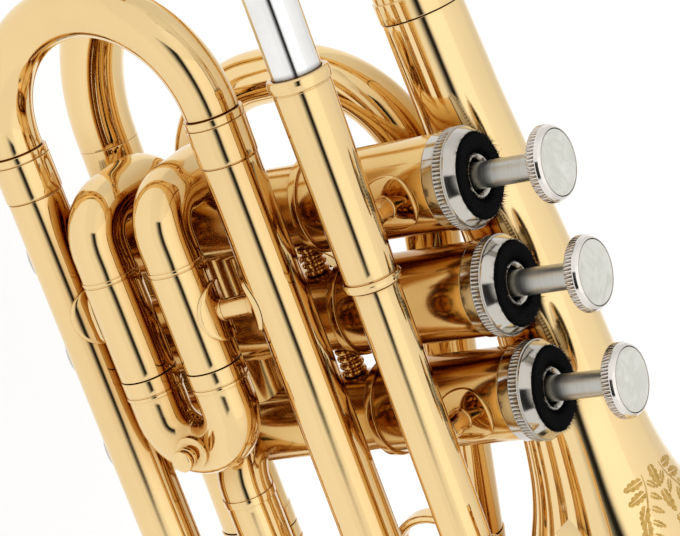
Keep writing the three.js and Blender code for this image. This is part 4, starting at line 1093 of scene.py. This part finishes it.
for number, radius in ((1, 6.5), (3, LEAD_RADIUS)):
    on_leadpipe = (Vector((VALVE_XS[number], LEAD_Y, LEAD_Z)), FORWARD, radius, False)
    brace(f"leadpipe_brace_{number}", [on_casing(number, 42), on_leadpipe], POST_RADIUS)
for name, x, slide_z, leg_z in (
        ("upper", -14, FIRST_ZS[0], UPPER_LEG_Z), ("lower", -17, FIRST_ZS[1], LOWER_LEG_Z)):
    brace(f"slide_brace_{name}", [
        (Vector((x, FIRST_Y, slide_z)), FORWARD, FIRST_RADIUS, True),
        (Vector((x, LEG_Y, leg_z)), FORWARD, MAIN_RADIUS, True)], 2.5)
for number in (1, 3):
    distance = VALVE_XS[number] - JOINT_X
    tail_radius = [radius for radius, place in flare if place <= distance][-1]
    on_tail = (bell_route.frame_at(distance)[0], FORWARD, tail_radius, False)
    brace(f"bell_brace_{number}", [on_casing(number, 44), on_tail], 3.2)


# Strips bent from flat brass
EDGE_PARTS = 8


def strip(bm, path, width, thickness):
    """path is a list of (point, outward) in the XZ plane; the strip is wide along Y with rounded edges."""
    edge = thickness / 2
    straight = width / 2 - edge
    outline = []
    for side in (-1, 1):
        for i in range(EDGE_PARTS + 1):
            angle = pi * i / EDGE_PARTS - pi / 2 * side
            outline.append((side * straight + edge * cos(angle), edge + edge * sin(angle)))
    rings = []
    for point, outward in path:
        rings.append([bm.verts.new((point + LEFT * y + outward * lift) * MM) for y, lift in outline])
    joined(bm, rings, capped=True)


HOOK_X = 53.3
HOOK_FOOT = 3.5
HOOK_RADIUS = 11.2
HOOK_PARTS = 48
HOOK_END = 2.2


def finger_hook():
    """A hook for the little finger, on a round pad sunk into the leadpipe."""
    foot_z = LEAD_Z + LEAD_RADIUS + 0.1
    centre = Vector((HOOK_X + HOOK_FOOT, LEAD_Y, foot_z + HOOK_RADIUS))
    path = [(Vector((HOOK_X + share * HOOK_FOOT, LEAD_Y, foot_z)), UP) for share in (0, 0.5)]
    for i in range(HOOK_PARTS + 1):
        angle = -pi / 2 + (HOOK_END + pi / 2) * i / HOOK_PARTS
        out = Vector((cos(angle), 0, sin(angle)))
        path.append((centre + out * HOOK_RADIUS, -out))
    bm = bmesh.new()
    strip(bm, path, 8, 1.7)
    pad_x = HOOK_X + 3.2
    swept(bm, [(0, -2), (5.2, -2), (5.0, 0, 0.6), (4.2, 0.6, 0.6), (0, 0.7)],
          line((pad_x, LEAD_Y, foot_z + 0.4), (pad_x, LEAD_Y, foot_z + 3), hint=FORWARD),
          sides=POST_SIDES, step=1)
    mesh_object("little_finger_hook", bm, BRASS, "horn", "finger_hook")


finger_hook()

# Water key: nipple, ears and pin on the crook, and the lever with its cup and cork.
# The key's span is the height from the nipple to the pin, and from there to the lever's end.
KEY_Z = (UPPER_LEG_Z + LOWER_LEG_Z) / 2
KEY_SPAN = 11
BOW = (UPPER_LEG_Z - LOWER_LEG_Z) / 2
NIPPLE_HEIGHT = 1.5
NIPPLE_LENGTH = 3.2
PIVOT_ABOVE = 3.6
EAR_RADIUS = 1.9
CORK_RADIUS = 3.2
CORK_THICKNESS = 1.6
apex_x = LEG_END_X - GAP - 0.5 - BOW
nipple_x = apex_x - CROOK_RADIUS - NIPPLE_HEIGHT
cork_x = nipple_x - GAP
plate_x = cork_x - CORK_THICKNESS - GAP
pivot_x = apex_x + BOW - sqrt(BOW ** 2 - KEY_SPAN ** 2) - CROOK_RADIUS - PIVOT_ABOVE
pivot = Vector((pivot_x, LEG_Y, KEY_Z + KEY_SPAN))


def rearward(x):
    return line((x, LEG_Y, KEY_Z), (x - 1, LEG_Y, KEY_Z))


def across_pivot(reach):
    return line(pivot - LEFT * reach, pivot + LEFT * reach)


def ear(name, inner, outer):
    """A lug between two places across, wide on the crook and round about the pin."""
    profile = [(5.6, -2.2), (5.6, 2.2), (-0.6, EAR_RADIUS)]
    for i in range(EDGE_PARTS + 1):
        angle = pi / 2 + pi * i / EDGE_PARTS
        profile.append((EAR_RADIUS * cos(angle), EAR_RADIUS * sin(angle)))
    bm = bmesh.new()
    for y in (inner, outer):
        for x, z in profile:
            bm.verts.new((pivot + Vector((x, y, z))) * MM)
    bmesh.ops.convex_hull(bm, input=bm.verts)
    mesh_object(name, bm, BRASS, "tuning_slide")


def lever():
    """A cup over the nipple, a strip up past the pin to the finger, and a barrel on the pin."""
    bm = bmesh.new()
    cup = [(0, -1.4), (CORK_RADIUS, -1.4), (CORK_RADIUS, -1.2), (3.6, -1.2, 0.1), (4.2, -1.2, 0.15),
           (4.2, 0.4, 0.5), (2.6, 1.5, 0.8), (0, 1.7)]
    swept(bm, cup, rearward(plate_x), step=0.5)
    path = [(Vector((plate_x - 0.9, LEG_Y, KEY_Z - 1)), -FORWARD)]
    for share in (0.2, 0.5, 0.8, 1.0):
        x = plate_x - 0.4 - 0.6 * share * (1 - share)
        path.append((Vector((x, LEG_Y, KEY_Z + KEY_SPAN * share)), -FORWARD))
    for share in (0.15, 0.35, 0.6, 0.8, 1.0):
        x = plate_x - 0.2 - 3.0 * share ** 1.4
        outward = Vector((-1, 0, -0.25 - 0.2 * share)).normalized()
        path.append((Vector((x, LEG_Y, pivot.z + KEY_SPAN * share)), outward))
    strip(bm, path, 5, 1.3)
    barrel = pivot.x - plate_x
    swept(bm, [(1.1, 0), (barrel, 0, 0.2), (barrel, 5, 0.2), (1.1, 5)], across_pivot(2.5), sides=POST_SIDES,
          step=1)
    mesh_object("key_lever", bm, BRASS, "key", "water_key")


nipple = [(1.6, 0), (2.9, 0), (2.9, 2.6, 0.3), (2.3, NIPPLE_LENGTH, 0.3), (1.6, NIPPLE_LENGTH, 0.3)]
sweep("key_nipple", nipple, rearward(nipple_x + NIPPLE_LENGTH), BRASS, "tuning_slide", sides=POST_SIDES,
      step=1)
ear("key_ear_near", -2.8, -4.1)
ear("key_ear_far", 2.8, 4.1)
pin = [(0, 0), (1.3, 0, 0.3), (1.3, 0.7, 0.2), (0.8, 0.7), (0.8, 8.1), (1.1, 8.1), (1.1, 8.8, 0.3), (0, 8.8)]
sweep("key_pin", pin, across_pivot(4.4), SATIN, "tuning_slide", sides=24, step=2)
lever()
sweep("key_cork", [(0, 0), (CORK_RADIUS, 0, 0.4), (CORK_RADIUS, CORK_THICKNESS, 0.2), (0, CORK_THICKNESS)],
      rearward(cork_x), CORK, "key", "water_key_cork", sides=POST_SIDES, step=0.5)

# Coil springs inside the pistons
SPRING_FOOT = 15.3
SPRING_TOP = 53.8
SPRING_RADIUS = 6.4
SPRING_WIRE = 0.5
SPRING_TURNS = 9
TURN_STEPS = 28
WIRE_SIDES = 8


def coil(number):
    """A wire wound about the valve's axis."""
    x = VALVE_XS[number]
    bm = bmesh.new()
    rings = []
    steps = SPRING_TURNS * TURN_STEPS
    for k in range(steps + 1):
        share = k / steps
        out = around(TURN * SPRING_TURNS * share)
        height = SPRING_FOOT + SPRING_WIRE + (SPRING_TOP - SPRING_FOOT - 2 * SPRING_WIRE) * share
        centre = Vector((x, 0, height)) + out * SPRING_RADIUS
        ring = []
        for i in range(WIRE_SIDES):
            angle = TURN * i / WIRE_SIDES
            rim = out * cos(angle) + UP * sin(angle)
            ring.append(bm.verts.new((centre + rim * SPRING_WIRE) * MM))
        rings.append(ring)
    joined(bm, rings, capped=True)
    spring = mesh_object(f"coil_{number}", bm, SPRING, "horn", f"piston_spring_{number}")
    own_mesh(spring)


for number in VALVE_XS:
    coil(number)

# The parts that keep their solids
for number in VALVE_XS:
    for node, material in ((f"valve_piston_{number}", STEM), (f"valve_guide_{number}", NYLON)):
        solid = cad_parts[node]
        solid.data.materials.clear()
        solid.data.materials.append(material)

# The camera of the photograph
CAMERA_PLACE = (-184.9, -485.3, 373.3)
CAMERA_RIGHT = (0.3318, 0.4803, 0.8119)
CAMERA_UP = (-0.9013, 0.4154, 0.1227)
CAMERA_BACK = (-0.2783, -0.7725, 0.5707)
camera_data = bpy.data.cameras.new("camera")
camera_data.lens = 140.2
camera_data.sensor_width = 36
camera_data.clip_start = 0.01
camera = placed("camera", camera_data)
facing = Matrix((CAMERA_RIGHT, CAMERA_UP, CAMERA_BACK)).transposed().to_4x4()
camera.matrix_world = Matrix.Translation(Vector(CAMERA_PLACE) * MM) @ facing
bpy.context.scene.camera = camera

# Studio
view = bpy.context.scene.view_settings
view.view_transform = "Standard"
world = bpy.data.worlds.new("studio")
bpy.context.scene.world = world
world.use_nodes = True
sky = Nodes(world.node_tree)


def rising(value, low, high):
    """0 up to low, then a smooth rise to 1 at high, both in degrees."""
    inputs = {"Value": value, "From Min": radians(low), "From Max": radians(high)}
    return sky.node("MapRange", inputs, interpolation_type="SMOOTHSTEP").outputs["Result"]


def falling(value, low, high):
    return sky.maths("SUBTRACT", 1.0, rising(value, low, high))


def dimmed(light, mask, share):
    """The light with a share of it taken away where the mask is 1."""
    return sky.maths("MULTIPLY", light, sky.maths("SUBTRACT", 1.0, sky.maths("MULTIPLY", mask, share)))


# A white tent, brighter overhead, with a dark opening in front where the camera stands
generated = sky.node("TexCoord").outputs["Generated"]
direction = sky.node("SeparateXYZ", {"Vector": generated}).outputs
toward_camera = sky.maths("MULTIPLY", direction["Y"], -1.0)
elevation = sky.maths("ARCSINE", direction["Z"])
azimuth = sky.maths("ARCTAN2", direction["X"], toward_camera)
aside = sky.maths("ABSOLUTE", sky.maths("ADD", azimuth, radians(4)))
over = sky.maths("ARCTAN2", direction["Z"], toward_camera)
opening = sky.maths("MULTIPLY", rising(elevation, 8, 27), falling(elevation, 30, 39))
opening = sky.maths("MULTIPLY", opening, falling(aside, 24, 28))
glow = sky.maths("ADD", 1.0, sky.maths("MULTIPLY", rising(elevation, 25, 45), 0.12))
glow = dimmed(glow, rising(over, 60, 140), 0.15)
glow = dimmed(glow, opening, 0.985)
background = sky.tree.nodes["Background"].inputs
sky.put(background["Strength"], glow)
sky.put(background["Color"], (1, 1, 1, 1))

# Pale floor, and one large soft lamp above, both in metres
FLOOR_Z = -0.14
FLOOR_RADIUS = 1.2


def floor_material():
    """Paper that glows for the camera and in reflections, so that it looks white but takes shadows."""
    n = Look("floor")
    paper = n.ramp(n.noise(40, 3, 0.5), [(0.3, 0.93), (0.7, 0.96)])
    n.set(Base_Color=paper, Roughness=0.9, Specular_IOR_Level=0.0)
    rays = n.node("LightPath").outputs
    seen = n.maths("MAXIMUM", rays["Is Camera Ray"], rays["Is Glossy Ray"])
    seen = n.maths("MAXIMUM", seen, rays["Is Transmission Ray"])
    shadowed = n.node("BsdfDiffuse", {"Color": (0.4, 0.4, 0.4, 1)}).outputs[0]
    white = n.node("Emission", {"Strength": 0.65}).outputs[0]
    bright = n.node("AddShader", {0: shadowed, 1: white}).outputs[0]
    mixed = n.node("MixShader", {0: seen, 1: n.shader.outputs[0], 2: bright}).outputs[0]
    n.put(n.tree.nodes["Material Output"].inputs["Surface"], mixed)
    return n.material


bm = bmesh.new()
bmesh.ops.create_circle(bm, cap_ends=True, segments=96, radius=FLOOR_RADIUS)
floor = meshed("floor", bm, floor_material())
floor.location.z = FLOOR_Z

lamp_data = bpy.data.lights.new("soft_box", "AREA")
lamp_data.shape = "RECTANGLE"
lamp_data.size = 1.2
lamp_data.size_y = 0.8
lamp_data.energy = 0.4
lamp = placed("soft_box", lamp_data)
lamp.location = (0.05, -0.5, 1.0)
lamp.rotation_euler = (radians(26), 0, 0)
